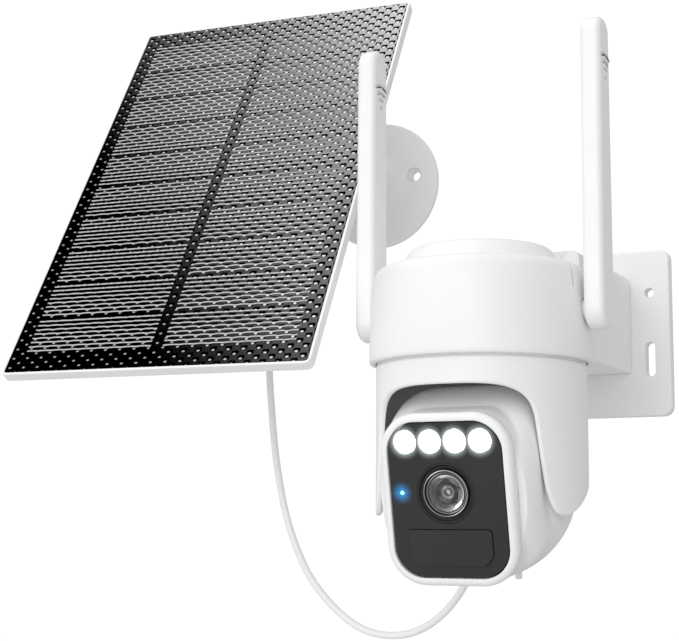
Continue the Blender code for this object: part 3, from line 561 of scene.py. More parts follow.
@dataclass(frozen=True)
class SolarLaminate(Finish):
    """Black cells with silver fingers under embossed clear film, in two columns of ten."""

    cell_pitch: float = 21.9
    cell_height: float = 19.2
    cell_width: float = 65.2
    column_at: float = 35.7
    finger_pitch: float = 2.56
    finger: float = 0.30

    def dimples(self, s: Sums, x: object, z: object) -> bpy.types.NodeSocket:
        """1 at the middle of each dimple of the film and -1 midway between: the product of two
        cosines, one wave to each pitch.

        Args:
            s: the tree's sums.
            x: place across the panel.
            z: place up the panel.

        Returns:
            The product's output.
        """
        across = s("COSINE", s("MULTIPLY", x, 2 * math.pi / SolarPanel.dome_pitch[0]))
        upward = s("COSINE", s("MULTIPLY", z, 2 * math.pi / SolarPanel.dome_pitch[1]))
        return s("MULTIPLY", across, upward)

    def fingers(self, s: Sums, x: object, z: object, bend: object) -> bpy.types.NodeSocket:
        """1 on the silver lines: eight to a cell, ten cells to a column, two columns.

        Args:
            s: the tree's sums.
            x: place across the panel.
            z: place up the panel.
            bend: how far the film shifts the lines there.

        Returns:
            The lines' output.
        """
        in_pitch = s("SUBTRACT", s("FRACT", s("ADD", s("DIVIDE", z, self.cell_pitch), 40.0)), 0.5)
        height = s("MULTIPLY", in_pitch, self.cell_pitch)
        in_row = s.step(s("ABSOLUTE", height), self.cell_height / 2 + 0.2, self.cell_height / 2 - 0.2)
        middle = s("SUBTRACT", s("ABSOLUTE", x), self.column_at)
        in_column = s.step(s("ABSOLUTE", middle), self.cell_width / 2 + 0.2, self.cell_width / 2 - 0.2)
        in_stack = s.step(s("ABSOLUTE", z), 5 * self.cell_pitch + 0.1, 5 * self.cell_pitch - 0.1)
        half = self.finger_pitch / 2
        near = s("SUBTRACT", half, s("PINGPONG", s("ADD", height, bend), half))
        line = s.step(near, self.finger + 0.22, self.finger - 0.12)
        return s("MULTIPLY", s("MULTIPLY", line, in_row), s("MULTIPLY", in_column, in_stack))

    def dress(self, tree: bpy.types.NodeTree, shader: bpy.types.Node) -> None:
        """A sheen is painted on the film between the dimples, growing towards the upper right and hiding the
        fingers there; at the foot of each dimple a painted glint stays bright. The back is plain.

        Args:
            tree: the material's node tree.
            shader: its Principled shader.
        """
        s = Sums(tree)
        x, y, z = local_mm(tree, PANEL)
        dimple = self.dimples(s, x, z)
        # painted sheen: brighter towards the upper right of the panel
        painted_sheen = s("ADD", 0.27, s("ADD", s("MULTIPLY", x, 0.30 / 76), s("MULTIPLY", z, 0.27 / 120)), clamp=True)
        painted_web_sheen = s("MULTIPLY", s.step(dimple, 0.3, -0.1), s("POWER", painted_sheen, 1.9))
        silver = s("MULTIPLY", self.fingers(s, x, z, s("MULTIPLY", dimple, s("MULTIPLY", painted_sheen, 0.3))),
                   s("MULTIPLY", s.step(painted_sheen, 0.95, 0.25), 0.62))
        # painted glint: a bright spot at the foot of each dimple, larger and brighter where the painted sheen
        # is strong
        low = self.dimples(s, s("ADD", x, 0.25), s("ADD", z, 0.6))
        size = s("SUBTRACT", 0.88, s("MULTIPLY", painted_sheen, 0.16))
        painted_light_spot = s.step(s("SUBTRACT", low, size), -0.12, 0.04)
        painted_light_spot = s("MULTIPLY", painted_light_spot, s("ADD", 0.42, s("MULTIPLY", s.step(painted_sheen, 0.0, 0.4), 0.5)))
        # pale mixes the printed silver fingers with the painted sheen and the painted glints
        pale = s("MAXIMUM", s("MAXIMUM", painted_web_sheen, silver), painted_light_spot, clamp=True)
        pale = s("MULTIPLY", pale, s.step(y, 1.8 - SolarPanel.front, 1.2 - SolarPanel.front))
        colour = add_node(tree, "Mix", {"data_type": "RGBA"},
                          {6: linear(self.colour), 7: linear(self.shade)}, {0: pale})
        tree.links.new(colour.outputs[2], shader.inputs["Base Color"])
        shader.inputs["Roughness"].default_value = self.roughness


@dataclass(frozen=True)
class FaceBlack(Finish):
    """Black moulded face, with glows painted round its lights as emission."""

    def dress(self, tree: bpy.types.NodeTree, shader: bpy.types.Node) -> None:
        """Adds painted glow to the plain grain: emission that falls off with distance from the nearest light,
        and a painted blue glow with four rays round the status light.

        Args:
            tree: the material's node tree.
            shader: its Principled shader.
        """
        super().dress(tree, shader)
        s = Sums(tree)
        x, _, z = local_mm(tree, HEAD)
        pitch = CameraHead.light_pitch
        place = s("ROUND", s("ADD", s("DIVIDE", s("SUBTRACT", x, CameraHead.optics_x), pitch), 1.5))
        place = s("SUBTRACT", s("MINIMUM", s("MAXIMUM", place, 0.0), 3.0), 1.5)
        aside = s("SUBTRACT", s("SUBTRACT", x, CameraHead.optics_x), s("MULTIPLY", place, pitch))
        above = s("SUBTRACT", z, CameraHead.light_z)
        far = s("SQRT", s("ADD", s("MULTIPLY", aside, aside), s("MULTIPLY", above, above)))
        painted_halo = s("POWER", s.step(far, CameraHead.light_r + 3.8, CameraHead.light_r - 1.0), 2.4)
        blue_x = s("ABSOLUTE", s("SUBTRACT", x, CameraHead.status[0]))
        blue_z = s("ABSOLUTE", s("SUBTRACT", z, CameraHead.status[1]))
        blue = s("SQRT", s("ADD", s("MULTIPLY", blue_x, blue_x), s("MULTIPLY", blue_z, blue_z)))
        painted_rays = s("MULTIPLY", s.step(s("MINIMUM", blue_x, blue_z), 0.4, 0.0), s.step(blue, 5.4, 0.6))
        painted_light_spot = s("ADD", s("POWER", s.step(blue, 5.6, 0.2), 1.4), s("MULTIPLY", painted_rays, 0.25), clamp=True)
        # painted glow colours: pale grey-green round the lights, blue round the status light
        white = add_node(tree, "Mix", {"data_type": "RGBA"},
                         {6: linear("#000000"), 7: linear("#cfdedb")}, {0: painted_halo})
        both = add_node(tree, "Mix", {"data_type": "RGBA"}, {7: linear("#2aa4f4")},
                        {0: painted_light_spot, 6: white.outputs[2]})
        tree.links.new(both.outputs[2], shader.inputs["Emission Color"])
        shader.inputs["Emission Strength"].default_value = 0.62


@dataclass(frozen=True)
class LensBlack(Finish):
    """The lens barrel: stepped rings in greys from the rim to the iris, with painted reflections among them
    and a painted highlight on two opposite sides.
    """

    def dress(self, tree: bpy.types.NodeTree, shader: bpy.types.Node) -> None:
        """Reads the distance from the lens axis through a ramp of greys, partly the barrel's steps and partly
        painted reflections, then brightens it by a painted highlight that peaks towards the upper left and
        the lower right.

        Args:
            tree: the material's node tree.
            shader: its Principled shader.
        """
        s = Sums(tree)
        x, _, z = local_mm(tree, HEAD)
        aside = s("SUBTRACT", x, CameraHead.optics_x)
        above = s("SUBTRACT", z, CameraHead.lens_z)
        far = s("DIVIDE", s("SQRT", s("ADD", s("MULTIPLY", aside, aside), s("MULTIPLY", above, above))), 10.0)
        ramp = add_node(tree, "ValToRGB", {}, {}, {0: far})
        # ring greys: partly the barrel's steps, partly painted reflections (the white core and the bright
        # thin rings)
        greys_and_painted_reflections = ((0.0, "#ffffff"), (0.06, "#e2e2e2"), (0.10, "#4a4a4a"), (0.15, "#5c5c5c"),
                 (0.19, "#d0d0d0"), (0.24, "#8a8a8a"), (0.29, "#101010"), (0.46, "#060606"),
                 (0.50, "#8a8a8a"), (0.53, "#3c3c3c"), (0.60, "#8c8c8c"), (0.72, "#6a6a6a"),
                 (0.79, "#4a4a4a"), (0.83, "#a8a8a8"), (0.855, "#2a2a2a"), (0.90, "#161616"),
                 (0.925, "#e8e8e8"), (0.95, "#5a5a5a"), (0.965, "#101010"))
        elements = ramp.color_ramp.elements
        elements[0].color, elements[1].position = linear(greys_and_painted_reflections[0][1]), greys_and_painted_reflections[1][0]
        elements[1].color = linear(greys_and_painted_reflections[1][1])
        for position, code in greys_and_painted_reflections[2:]:
            elements.new(position).color = linear(code)
        # painted highlight: brightens the rings towards the upper left and the lower right of the lens
        turn = s("ARCTAN2", above, aside)
        painted_highlight = s("COSINE", s("MULTIPLY", s("SUBTRACT", turn, math.radians(122)), 2.0))
        painted_highlight = s("ADD", 0.72, s("MULTIPLY", s("POWER", s("MAXIMUM", painted_highlight, 0.0), 3.0), 0.9))
        lit = add_node(tree, "VectorMath", {"operation": "SCALE"}, {}, {0: ramp.outputs[0], "Scale": painted_highlight})
        tree.links.new(lit.outputs[0], shader.inputs["Base Color"])
        shader.inputs["Roughness"].default_value = self.roughness


@dataclass(frozen=True)
class CircuitBoard(Finish):
    """Glass-epoxy board under solder mask, with tracks 0.4 mm wide."""

    def dress(self, tree: bpy.types.NodeTree, shader: bpy.types.Node) -> None:
        """Draws tracks as the edges of a cell pattern under the mask.

        Args:
            tree: the material's node tree.
            shader: its Principled shader.
        """
        where = add_node(tree, "TexCoord").outputs["Object"]
        cells = add_node(tree, "TexVoronoi", {"feature": "DISTANCE_TO_EDGE"}, {"Scale": 320.0},
                         {"Vector": where})
        track = Sums(tree).step(cells.outputs[0], 0.07, 0.04)
        colour = add_node(tree, "Mix", {"data_type": "RGBA"},
                          {6: linear(self.colour), 7: linear(self.shade)}, {0: track})
        tree.links.new(colour.outputs[2], shader.inputs["Base Color"])
        bump = add_node(tree, "Bump", {}, {"Distance": 0.04 * MM}, {"Height": track})
        tree.links.new(bump.outputs[0], shader.inputs["Normal"])
        shader.inputs["Roughness"].default_value = self.roughness


# ABS moulded in a finely spark-eroded tool: a soft satin white, the 0.15 mm grain drawn at 0.6 mm.
WHITE_ABS = Finish("white_abs_moulded", "#f7f7f7", "#f4f4f4", 0.42, spread=0.05, relief=0.005)
# The same white ABS from a polished part of the tool: the antennas look a little glossier.
ANTENNA_ABS = Finish("antenna_abs_moulded", "#f8f8f8", "#f5f5f5", 0.34, spread=0.04, relief=0.003)
# The antennas' wave signs: the same ABS, pad-printed light grey.
SIGN_ABS = Finish("antenna_sign_printed", "#d6d8da", "#d0d2d4", 0.45, relief=0.002)
# Dark grey ABS, plain moulded, for what sits inside.
DARK_ABS = Finish("dark_abs_moulded", "#2b2b2d", "#252527", 0.5, relief=0.015)
# Face: black ABS, fine matte etch, reads as an even dark grey; the glows round its lights are painted in as
# emission.
FACE_ABS = FaceBlack("face_black_abs", "#353535", "#323232", 0.5, relief=0.006, specular=0.2)
# Window: polyethylene-loaded ABS that lets heat through, same grey as the face and slightly smoother.
WINDOW_ABS = Finish("window_black_abs", "#373737", "#343434", 0.42, relief=0.004, specular=0.2)
# Ring in the recess: black ABS, polished slope.
RING_ABS = Finish("ring_black_abs", "#333333", "#303030", 0.45, relief=0.003, specular=0.2)
# Zinc-plated steel, turned: bright, with a fine grain.
STEEL = Finish("zinc_plated_steel_turned", "#c9cbcf", "#b5b8bd", 0.28, grain=0.3, relief=0.004, metallic=1.0)
# Nickel-plated motor case, drawn sheet.
MOTOR_CASE = Finish("nickel_plated_case_drawn", "#b9b7b0", "#a6a49e", 0.34, grain=0.5, relief=0.003,
                    metallic=1.0)
# Acetal gears, moulded: waxy off-white.
ACETAL = Finish("acetal_moulded", "#e9e6db", "#dfdbce", 0.46, relief=0.004)
# Silicone seals and glands, moulded: soft white with a dusty bloom.
SILICONE = Finish("silicone_moulded", "#ececea", "#e4e4e2", 0.6, relief=0.01)
# Lead sheath, extruded PVC: satin white, quite smooth.
SHEATH = Finish("pvc_sheath_extruded", "#fbfbfb", "#f8f8f8", 0.45, spread=0.02, grain=6.0, relief=0.0)
# Circuit boards: green mask over copper tracks.
BOARD = CircuitBoard("circuit_board_masked", "#0f5b33", "#2c8a57", 0.35, coat=0.3)
# Shrink sleeve on the cells: glossy blue film.
SLEEVE = Finish("battery_sleeve_shrunk", "#1d5fae", "#1a55a0", 0.25, grain=4.0, relief=0.03, coat=0.4)
# Light lenses: clear acrylic over a burning lamp, so pure white.
LIGHT = Finish("light_lens_acrylic", "#ffffff", "#f6fbff", 0.15, glow=3.2)
# Status light pipe: acrylic, lit cyan.
STATUS = Finish("status_light_acrylic", "#7fe6ff", "#66dcff", 0.15, glow=2.6)
# Lens barrel: anodised aluminium, turned in steps; reflections in its rings and a highlight fanning out from
# the middle are painted in its colour.
BARREL = LensBlack("lens_barrel_anodised", "#303030", "#303030", 0.3, specular=0.1)
# Front glass: coated optical glass.
GLASS = Finish("lens_glass_coated", "#ffffff", "#fafcff", 0.02, spread=0.0, relief=0.0, specular=0.2,
               clear=1.0)
# Laminate: black cells under an embossed film, low in gloss; a sheen and glints are painted on the film in
# pale base colour.
LAMINATE = SolarLaminate("solar_laminate_embossed", "#000000", "#f4f4f4", 0.6, specular=0.0)
# Memory card, moulded: near black, half gloss.
CARD = Finish("memory_card_moulded", "#1a1a1c", "#161618", 0.4)
# Sensor can, drawn and tinned sheet: grey metal, satin.
CAN = Finish("sensor_can_tinned", "#c6c4bc", "#b9b7b0", 0.32, metallic=1.0, grain=0.4, relief=0.003)


# ------------------------------------------------------------------ studio


@dataclass
class Studio:
    """Camera, lights, background and floor."""

    eye: tuple = (0.24249, -0.71729, -0.09958)
    azimuth: float = 27.45
    elevation: float = 8.21
    roll: float = 0.41
    focal: float = 1507.66 * 36.0 / 679.0
    floor_z: float = -0.42

    def camera(self) -> bpy.types.Object:
        """The camera: its axes come from the azimuth, elevation and roll by rotation formulas.

        Returns:
            The camera.
        """
        a, e, r = (math.radians(v) for v in (self.azimuth, self.elevation, self.roll))
        ahead = Vector((-math.sin(a) * math.cos(e), math.cos(a) * math.cos(e), math.sin(e)))
        level = Vector((math.cos(a), math.sin(a), 0.0))
        up = level.cross(ahead)
        right = math.cos(r) * level + math.sin(r) * up
        above = math.cos(r) * up - math.sin(r) * level
        data = bpy.data.cameras.new("view")
        data.lens, data.sensor_width = self.focal, 36.0
        data.clip_start, data.clip_end = 0.05, 50.0
        camera = bpy.data.objects.new("view", data)
        turn = Matrix((right, above, -ahead)).transposed().to_4x4()
        camera.matrix_world = Matrix.Translation(Vector(self.eye)) @ turn
        bpy.context.scene.collection.objects.link(camera)
        bpy.context.scene.camera = camera
        return camera

    def light(self, name: str, at: tuple, towards: tuple, size: tuple, strength: float) -> None:
        """A rectangular soft box.

        Args:
            name: its name.
            at: its middle, in metres.
            towards: the point that it faces.
            size: its width and height in metres.
            strength: radiance of its face.
        """
        data = bpy.data.lights.new(name, "AREA")
        data.shape, data.size, data.size_y = "RECTANGLE", *size
        data.energy = strength * math.pi * size[0] * size[1]
        box = bpy.data.objects.new(name, data)
        way = Vector(towards) - Vector(at)
        box.matrix_world = Matrix.Translation(Vector(at)) @ way.to_track_quat("-Z", "Y").to_matrix().to_4x4()
        box.visible_camera = False
        bpy.context.scene.collection.objects.link(box)

    def background(self) -> None:
        """White behind the object, and an even dimmer sky for what falls on it."""
        world = bpy.data.worlds.new("studio")
        bpy.context.scene.world = world
        world.use_nodes = True
        tree = world.node_tree
        tree.nodes.clear()
        path = add_node(tree, "LightPath")
        around = add_node(tree, "Background", {}, {"Color": linear("#ffffff"), "Strength": 0.6})
        behind = add_node(tree, "Background", {}, {"Color": linear("#ffffff"), "Strength": 1.05})
        mixed = add_node(tree, "MixShader", {}, {}, {0: path.outputs["Is Camera Ray"],
                                                     1: around.outputs[0], 2: behind.outputs[0]})
        add_node(tree, "OutputWorld", {}, {}, {0: mixed.outputs[0]})

    def floor(self) -> None:
        """A pale round floor: rings of growing radius at one height."""
        angle = np.arange(96) * 2 * math.pi / 96
        radius = np.linspace(0.02, 3.2, 24)[:, None] * 1000
        rings = [radius * np.cos(angle), radius * np.sin(angle), np.full((24, 96), self.floor_z * 1000)]
        draft = Draft().grid(np.stack(rings, axis=-1), caps=(True, False))
        mesh = draft.mesh("floor")
        floor = bpy.data.objects.new("floor", mesh)
        mesh.materials.append(Finish("floor_paper_matte", "#d6d6d6", "#d4d4d4", 0.9, grain=2.0,
                                     specular=0.1).material())
        bpy.context.scene.collection.objects.link(floor)

    def build(self) -> None:
        """Makes the studio."""
        scene = bpy.context.scene
        scene.view_settings.view_transform = "Standard"
        self.camera()
        self.background()
        self.floor()
        self.light("key_box", (-0.75, -1.6, 0.85), (-0.03, -0.1, -0.02), (1.3, 1.3), 1.15)
        self.light("top_box", (-0.55, -0.3, 1.5), (-0.1, -0.08, 0.0), (0.9, 0.9), 2.0)
        self.light("front_box", (0.35, -1.8, 0.25), (0.0, -0.1, -0.04), (1.3, 1.0), 1.9)
        self.light("low_box", (-0.5, -1.3, -0.25), (-0.02, -0.12, -0.06), (0.7, 0.5), 0.6)


# ------------------------------------------------------------------ the lead


@dataclass
class SolarLead:
    """The round lead from the solar bracket's gland down and back up to the camera's gland."""

    diameter: float = 3.6
    route: tuple = (
        (-146.5, -48.4, 46.0), (-146.5, -48.4, 33.0), (-146.4, -48.4, 16.0), (-146.0, -48.4, -1.0),
        (-145.2, -48.4, -18.0), (-143.8, -48.4, -34.0), (-141.6, -48.4, -54.0), (-138.3, -48.4, -73.0),
        (-134.3, -48.4, -89.0), (-129.0, -48.4, -103.0), (-121.4, -48.4, -117.4),
        (-111.0, -48.4, -129.6), (-99.4, -48.2, -139.0), (-89.0, -47.4, -144.2),
        (-78.6, -46.4, -146.0), (-68.3, -45.4, -145.0), (-59.3, -44.4, -141.4),
        (-52.0, -43.0, -136.0), (-45.8, -41.4, -129.2), (-40.2, -39.4, -120.0),
        (-33.6, -37.0, -106.0), (-24.0, -34.8, -86.0), (-13.0, -33.4, -64.0), (-4.0, -33.0, -45.0),
        (-0.6, -33.0, -34.0), (0.0, -33.0, -20.0))

    def gland(self, node: str, at: tuple) -> bpy.types.Object:
        """One push-in strain relief: a flange, a stem, and a tapered sleeve with three ribs.

        Args:
            node: the CAD node that it stands for.
            at: where it sits.

        Returns:
            The piece.
        """
        bore = self.diameter / 2 + 0.35
        sleeve = [(bore, -11.5), (bore + 0.7, -11.5), (bore + 0.85, -9.0)]
        for low in (-8.0, -6.0, -4.0):
            sleeve += [(bore + 0.9, low - 0.7), (bore + 1.25, low - 0.5), (bore + 1.3, low + 0.3),
                       (bore + 0.95, low + 0.5)]
        sleeve += [(bore + 1.3, -2.2), (5.2, -2.0), (5.4, -0.3), (3.7, -0.3), (3.7, 3.4), (bore, 3.4)]
        draft = Draft().lathe(softened(sleeve, 0.25, 4), 64).moved(placed(at))
        return put(f"{node}_ribbed", draft, SILICONE, "root", (node,))

    def build(self) -> None:
        glands = [self.gland("solar_gland", SOLAR_GLAND), self.gland("camera_gland", CAMERA_GLAND)]
        line = through(self.route, 8) * MM
        curve = bpy.data.curves.new("lead", "CURVE")
        curve.dimensions = "3D"
        curve.bevel_depth, curve.bevel_resolution = self.diameter / 2 * MM, 6
        curve.use_fill_caps = True
        spline = curve.splines.new("POLY")
        spline.points.add(len(line) - 1)
        spline.points.foreach_set("co", np.column_stack([line, np.ones(len(line))]).ravel())
        curve.materials.append(SHEATH.material())
        lead = bpy.data.objects.new("lead", curve)
        bpy.context.scene.collection.objects.link(lead)
        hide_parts("solar_lead")
        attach(lead, "root")


# ------------------------------------------------------------------ wall plate and arm


@dataclass
class WallMount:
    """The wall plate with its holes, and the box arm between it and the housing."""

    plate_size: tuple = (104.8, 6.0, 81.0)
    plate_corner: float = 5.0
    edge: float = 1.2
    hole: tuple = (42.4, 19.6, 2.2)
    slot: tuple = (42.4, -12.9, 2.4, 16.7)
    arm_half: float = 33.0
    arm_low: float = 6.3
    arm_high: float = 55.0
    arm_back: float = 112.1
    housing_r: float = 48.3

    def plate(self) -> bpy.types.Object:
        """The plate: a rounded outline stood up with quarter-round edges, then its holes cut.

        Returns:
            The piece.
        """
        width, depth, height = self.plate_size
        turn = np.linspace(0, math.pi / 2, 6)
        front = [(self.edge * (1 - math.cos(a)), depth - self.edge + self.edge * math.sin(a)) for a in turn]
        section = [(0.5, 0.0), (0.0, 0.5), *front]
        draft = Draft().stack(rounded(width, height, self.plate_corner), section).laid(Facing.FRONT)
        cuts = []
        for side in (-1, 1):
            x, z, radius = self.hole
            flare = softened([(0, -2), (radius, -2), (radius, depth - 0.3), (radius + 0.9, depth + 1.0),
                              (0, depth + 1)], [0, 0, 0.4, 0, 0], 5)
            way = Draft().lathe(flare, 48).laid(Facing.FRONT).moved(placed((side * x, 0, z)))
            x, z, half, length = self.slot
            lip = [(0.0, -2.0), (0.0, depth - 0.4), (-0.25, depth - 0.1), (-0.6, depth + 0.2),
                   (-0.6, depth + 2)]
            long_way = Draft().stack(rounded(2 * half, length, half - 0.01), lip).laid(Facing.FRONT)
            cuts += [(Cut.AWAY, way), (Cut.AWAY, long_way.moved(placed((side * x, 0, z))))]
            for bore, end in ((3.8, 4.5), (2.0, 8)):
                way = Draft().bar(bore, -1, end).laid(Facing.FRONT).moved(placed((side * 20, 0, 5)))
                cuts.append((Cut.AWAY, way))
        return put("wall_plate_moulded", draft, WHITE_ABS, "root", ("wall_plate",), tuple(cuts),
                   flat=True)

    def arm(self) -> bpy.types.Object:
        """The arm: its section runs from the plate to the round housing.

        Each point of the section goes from the plate's face to where its x meets the housing's
        cylinder, at minus the root of radius squared less x squared. The front end is closed by
        shrinking the section towards its middle over the same cylinder.

        Returns:
            The piece.
        """
        half, low, high = self.arm_half, self.arm_low, self.arm_high
        corners = [(-half, low), (half, low), (half, high), (-half, high)]
        section = softened(corners, [0.7, 0.7, 7.0, 7.0], 12)
        middle = np.array([0.0, (low + high) / 2])
        rows = []
        for k in (0.02, 0.5, 0.98, 1.0):
            point = section * k + middle * (1 - k)
            rows.append(np.column_stack([point[:, 0], np.full(len(section), self.arm_back), point[:, 1]]))
        shares = np.array([0.03, 0.3, 0.6, 0.97, 1.0])
        reach = np.sqrt(self.housing_r ** 2 - section[:, 0] ** 2)
        rows += [np.column_stack([section[:, 0], self.arm_back + (reach - self.arm_back) * share,
                                  section[:, 1]]) for share in shares]
        for k in (0.95, 0.7, 0.4, 0.1):
            point = section * k + middle * (1 - k)
            rows.append(np.column_stack([point[:, 0], np.sqrt(self.housing_r ** 2 - point[:, 0] ** 2),
                                         point[:, 1]]))
        draft = Draft().grid(np.array(rows), caps=(True, True)).moved(CAMERA)
        bore = Draft().bar(4.0, low - 3, low + 5).moved(placed((0, 85.4, 0)), CAMERA)
        return put("wall_arm_moulded", draft, WHITE_ABS, "root", ("wall_arm",),
                   ((Cut.AWAY, bore),), flat=True)

    def build(self) -> None:
        """Makes both pieces."""
        self.plate()
        self.arm()


# ------------------------------------------------------------------ housing


@dataclass
class Housing:
    """The fixed round housing, with its vents, and the cap on top."""

    radius: float = 48.0
    wall: float = 2.4
    shoulder: float = 41.4
    top_radius: float = 45.3
    vents: tuple = ((77.2, 29.6, 41.0), (84.6, 35.6, 41.0))

    def shell(self) -> bpy.types.Object:
        """The shell: a softened profile turned about the pan axis, then seats and vents cut.

        Returns:
            The piece.
        """
        rim, top, wall = self.radius, self.shoulder, self.wall
        outer = [(rim - 2.0, 0.0), (rim, 0.0), (rim, 6.0), (rim - 0.6, 18.0), (self.top_radius + 0.1, top),
                 (24.0, top)]
        inner = [(24.0, top - wall), (self.top_radius - wall, top - wall), (rim - wall, 5.0),
                 (rim - wall, 3.2), (rim - 2.7, 0.0)]
        profile = softened(outer + inner, [0.3, 2.2, 5.0, 6.0, 5.2, 0.3, 0.3, 1.5, 0.5, 0.5, 0.2], 9)
        draft = Draft().lathe(profile, 256).moved(CAMERA)
        cuts = []
        for side in (-1, 1):
            seat = Draft().bar(5.4, 38, 56).laid(Facing.SIDE).moved(half_turn(side))
            cuts.append((Cut.AWAY, seat.moved(placed((0, *ANTENNA_SEAT)), CAMERA)))
        for angle, low, high in self.vents:
            outline = rounded(1.1, high - low, 0.5, (0, (high + low) / 2), 4)
            slit = Draft().stack(outline, [(0, 40.0), (0, 52.0)]).laid(Facing.FRONT)
            cuts.append((Cut.AWAY, slit.moved(placed((0, 0, 0), (0, 0, angle)), CAMERA)))
        return put("housing_moulded", draft, WHITE_ABS, "root", ("housing_shell",), tuple(cuts))

    def cap(self) -> bpy.types.Object:
        """The raised cap: a shallow cone with soft corners.

        Returns:
            The piece.
        """
        base = self.shoulder + 0.3
        corners = [(0, base), (34.6, base), (34.3, base + 1.4), (30.2, 50.1), (0, 50.1)]
        draft = Draft().lathe(softened(corners, [0, 0.3, 1.2, 3.4, 0], 9), 192).moved(CAMERA)
        return put("top_cap_moulded", draft, WHITE_ABS, "root", ("top_cap",))

    def build(self) -> None:
        """Makes the shell and the cap."""
        self.shell()
        self.cap()


# ------------------------------------------------------------------ yoke


@dataclass
class Yoke:
    """The turning yoke: a round skirt whose lower edge drops into two side arms."""

    radius: float = 45.0
    wall: float = 2.4
    deck: float = 2.6
    hub: float = 10.1
    round_edge: float = 0.9
    edge: tuple = ((0, -12.0), (18.5, -12.1), (31, -13.0), (39.5, -15.1), (44, -17.4), (47, -20.2),
                   (49, -24), (50.2, -28.5), (51.7, -36), (53.6, -44.7), (56, -53.5), (58.7, -58.6),
                   (61.2, -61.6), (64, -63.4), (68.5, -64.3), (74.5, -63.4), (82, -61.0), (94, -56.0),
                   (106, -51.0), (118, -46.6), (132, -42.8), (146, -40.2), (163, -38.4), (180, -38.0))

    def lower_edge(self) -> tuple[np.ndarray, np.ndarray]:
        """The lower edge all the way round, evenly spaced along its length.

        Returns:
            Points (arc length along the wall, height) and inward normals of the edge line, (n, 2).
        """
        front = np.array(self.edge, float)
        back = front[-2:0:-1] * (-1, 1) + (360, 0)
        knots = np.vstack([front, back, [(360, -12.0)]])
        line = through(knots, 12) * (math.radians(1) * self.radius, 1.0)
        length = np.concatenate([[0], np.cumsum(np.linalg.norm(np.diff(line, axis=0), axis=1))])
        even = np.linspace(0, length[-1], 721)[:-1]
        points = np.stack([np.interp(even, length, line[:, k]) for k in (0, 1)], axis=1)
        circle = 2 * math.pi * self.radius
        ahead, behind = np.roll(points, -1, 0), np.roll(points, 1, 0)
        ahead[-1, 0] += circle
        behind[0, 0] -= circle
        chord = ahead - behind
        normal = np.stack([-chord[:, 1], chord[:, 0]], axis=1)
        return points, normal / np.linalg.norm(normal, axis=1)[:, None]

    def shell(self) -> bpy.types.Object:
        """One section carried round the pan axis.

        Each column starts at the hub, runs out over the deck and down the outer wall to the lower
        edge, round it on a quarter circle each side, and back up the inner wall. A point (s, z) of
        the wall at radius r stands at r times (sine, minus cosine) of s over the outer radius.

        Returns:
            The piece.
        """
        line, normal = self.lower_edge()
        inner, outer, bend = self.radius - self.wall, self.radius, self.round_edge
        top, count = -0.4, len(line)
        turn = np.linspace(0, math.pi / 2, 5)
        rows = []

        def row(radius: float, along: np.ndarray, height: np.ndarray) -> None:
            """Adds one ring of the wall.

            Args:
                radius: how far it stands from the pan axis.
                along: arc lengths along the outer wall.
                height: its heights.
            """
            angle = along / self.radius
            rows.append(np.stack([radius * np.sin(angle), -radius * np.cos(angle),
                                  np.broadcast_to(height, (count,))], axis=1))

        for radius, height in ((self.hub, top - self.deck), (self.hub, top), (outer - 6, top),
                               (outer - 1.6, top), (outer - 0.8, top - 0.15), (outer - 0.25, top - 0.6),
                               (outer, top - 1.4)):
            row(radius, line[:, 0], np.full(count, height))
        for share in (0.1, 0.3, 0.5, 0.7, 0.9):
            target = line + normal * bend
            row(outer, line[:, 0] + (target[:, 0] - line[:, 0]) * share,
                (top - 1.4) * (1 - share) + target[:, 1] * share)
        for radius_way, sign in ((turn, 1), (turn[::-1], -1)):
            for a in radius_way:
                base = line + normal * bend * (1 - math.sin(a))
                away = bend * (1 - math.cos(a))
                row(outer - away if sign > 0 else inner + away, base[:, 0], base[:, 1])
        for share in (0.7, 0.3):
            row(inner, line[:, 0], (top - self.deck) * (1 - share) + (line[:, 1] + bend) * share)
        row(inner, line[:, 0], np.full(count, top - self.deck))
        draft = Draft().grid(np.array(rows), loop=True).moved(PAN)
        return put("yoke_moulded", draft, WHITE_ABS, "yoke", ("yoke_shell",), crease=50)

    def collar(self) -> bpy.types.Object:
        """A low ring on the deck that keeps rain and light out of the seam under the housing.

        Returns:
            The piece.
        """
        outline = [(42.6, -0.6), (44.7, -0.6), (44.7, 1.7), (42.6, 1.7)]
        draft = Draft().lathe(softened(outline, 0.3, 4), 192).moved(PAN)
        return put("yoke_collar", draft, WHITE_ABS, "yoke")

    def build(self) -> None:
        """Makes the yoke and its collar."""
        self.shell()
        self.collar()


# ------------------------------------------------------------------ camera head


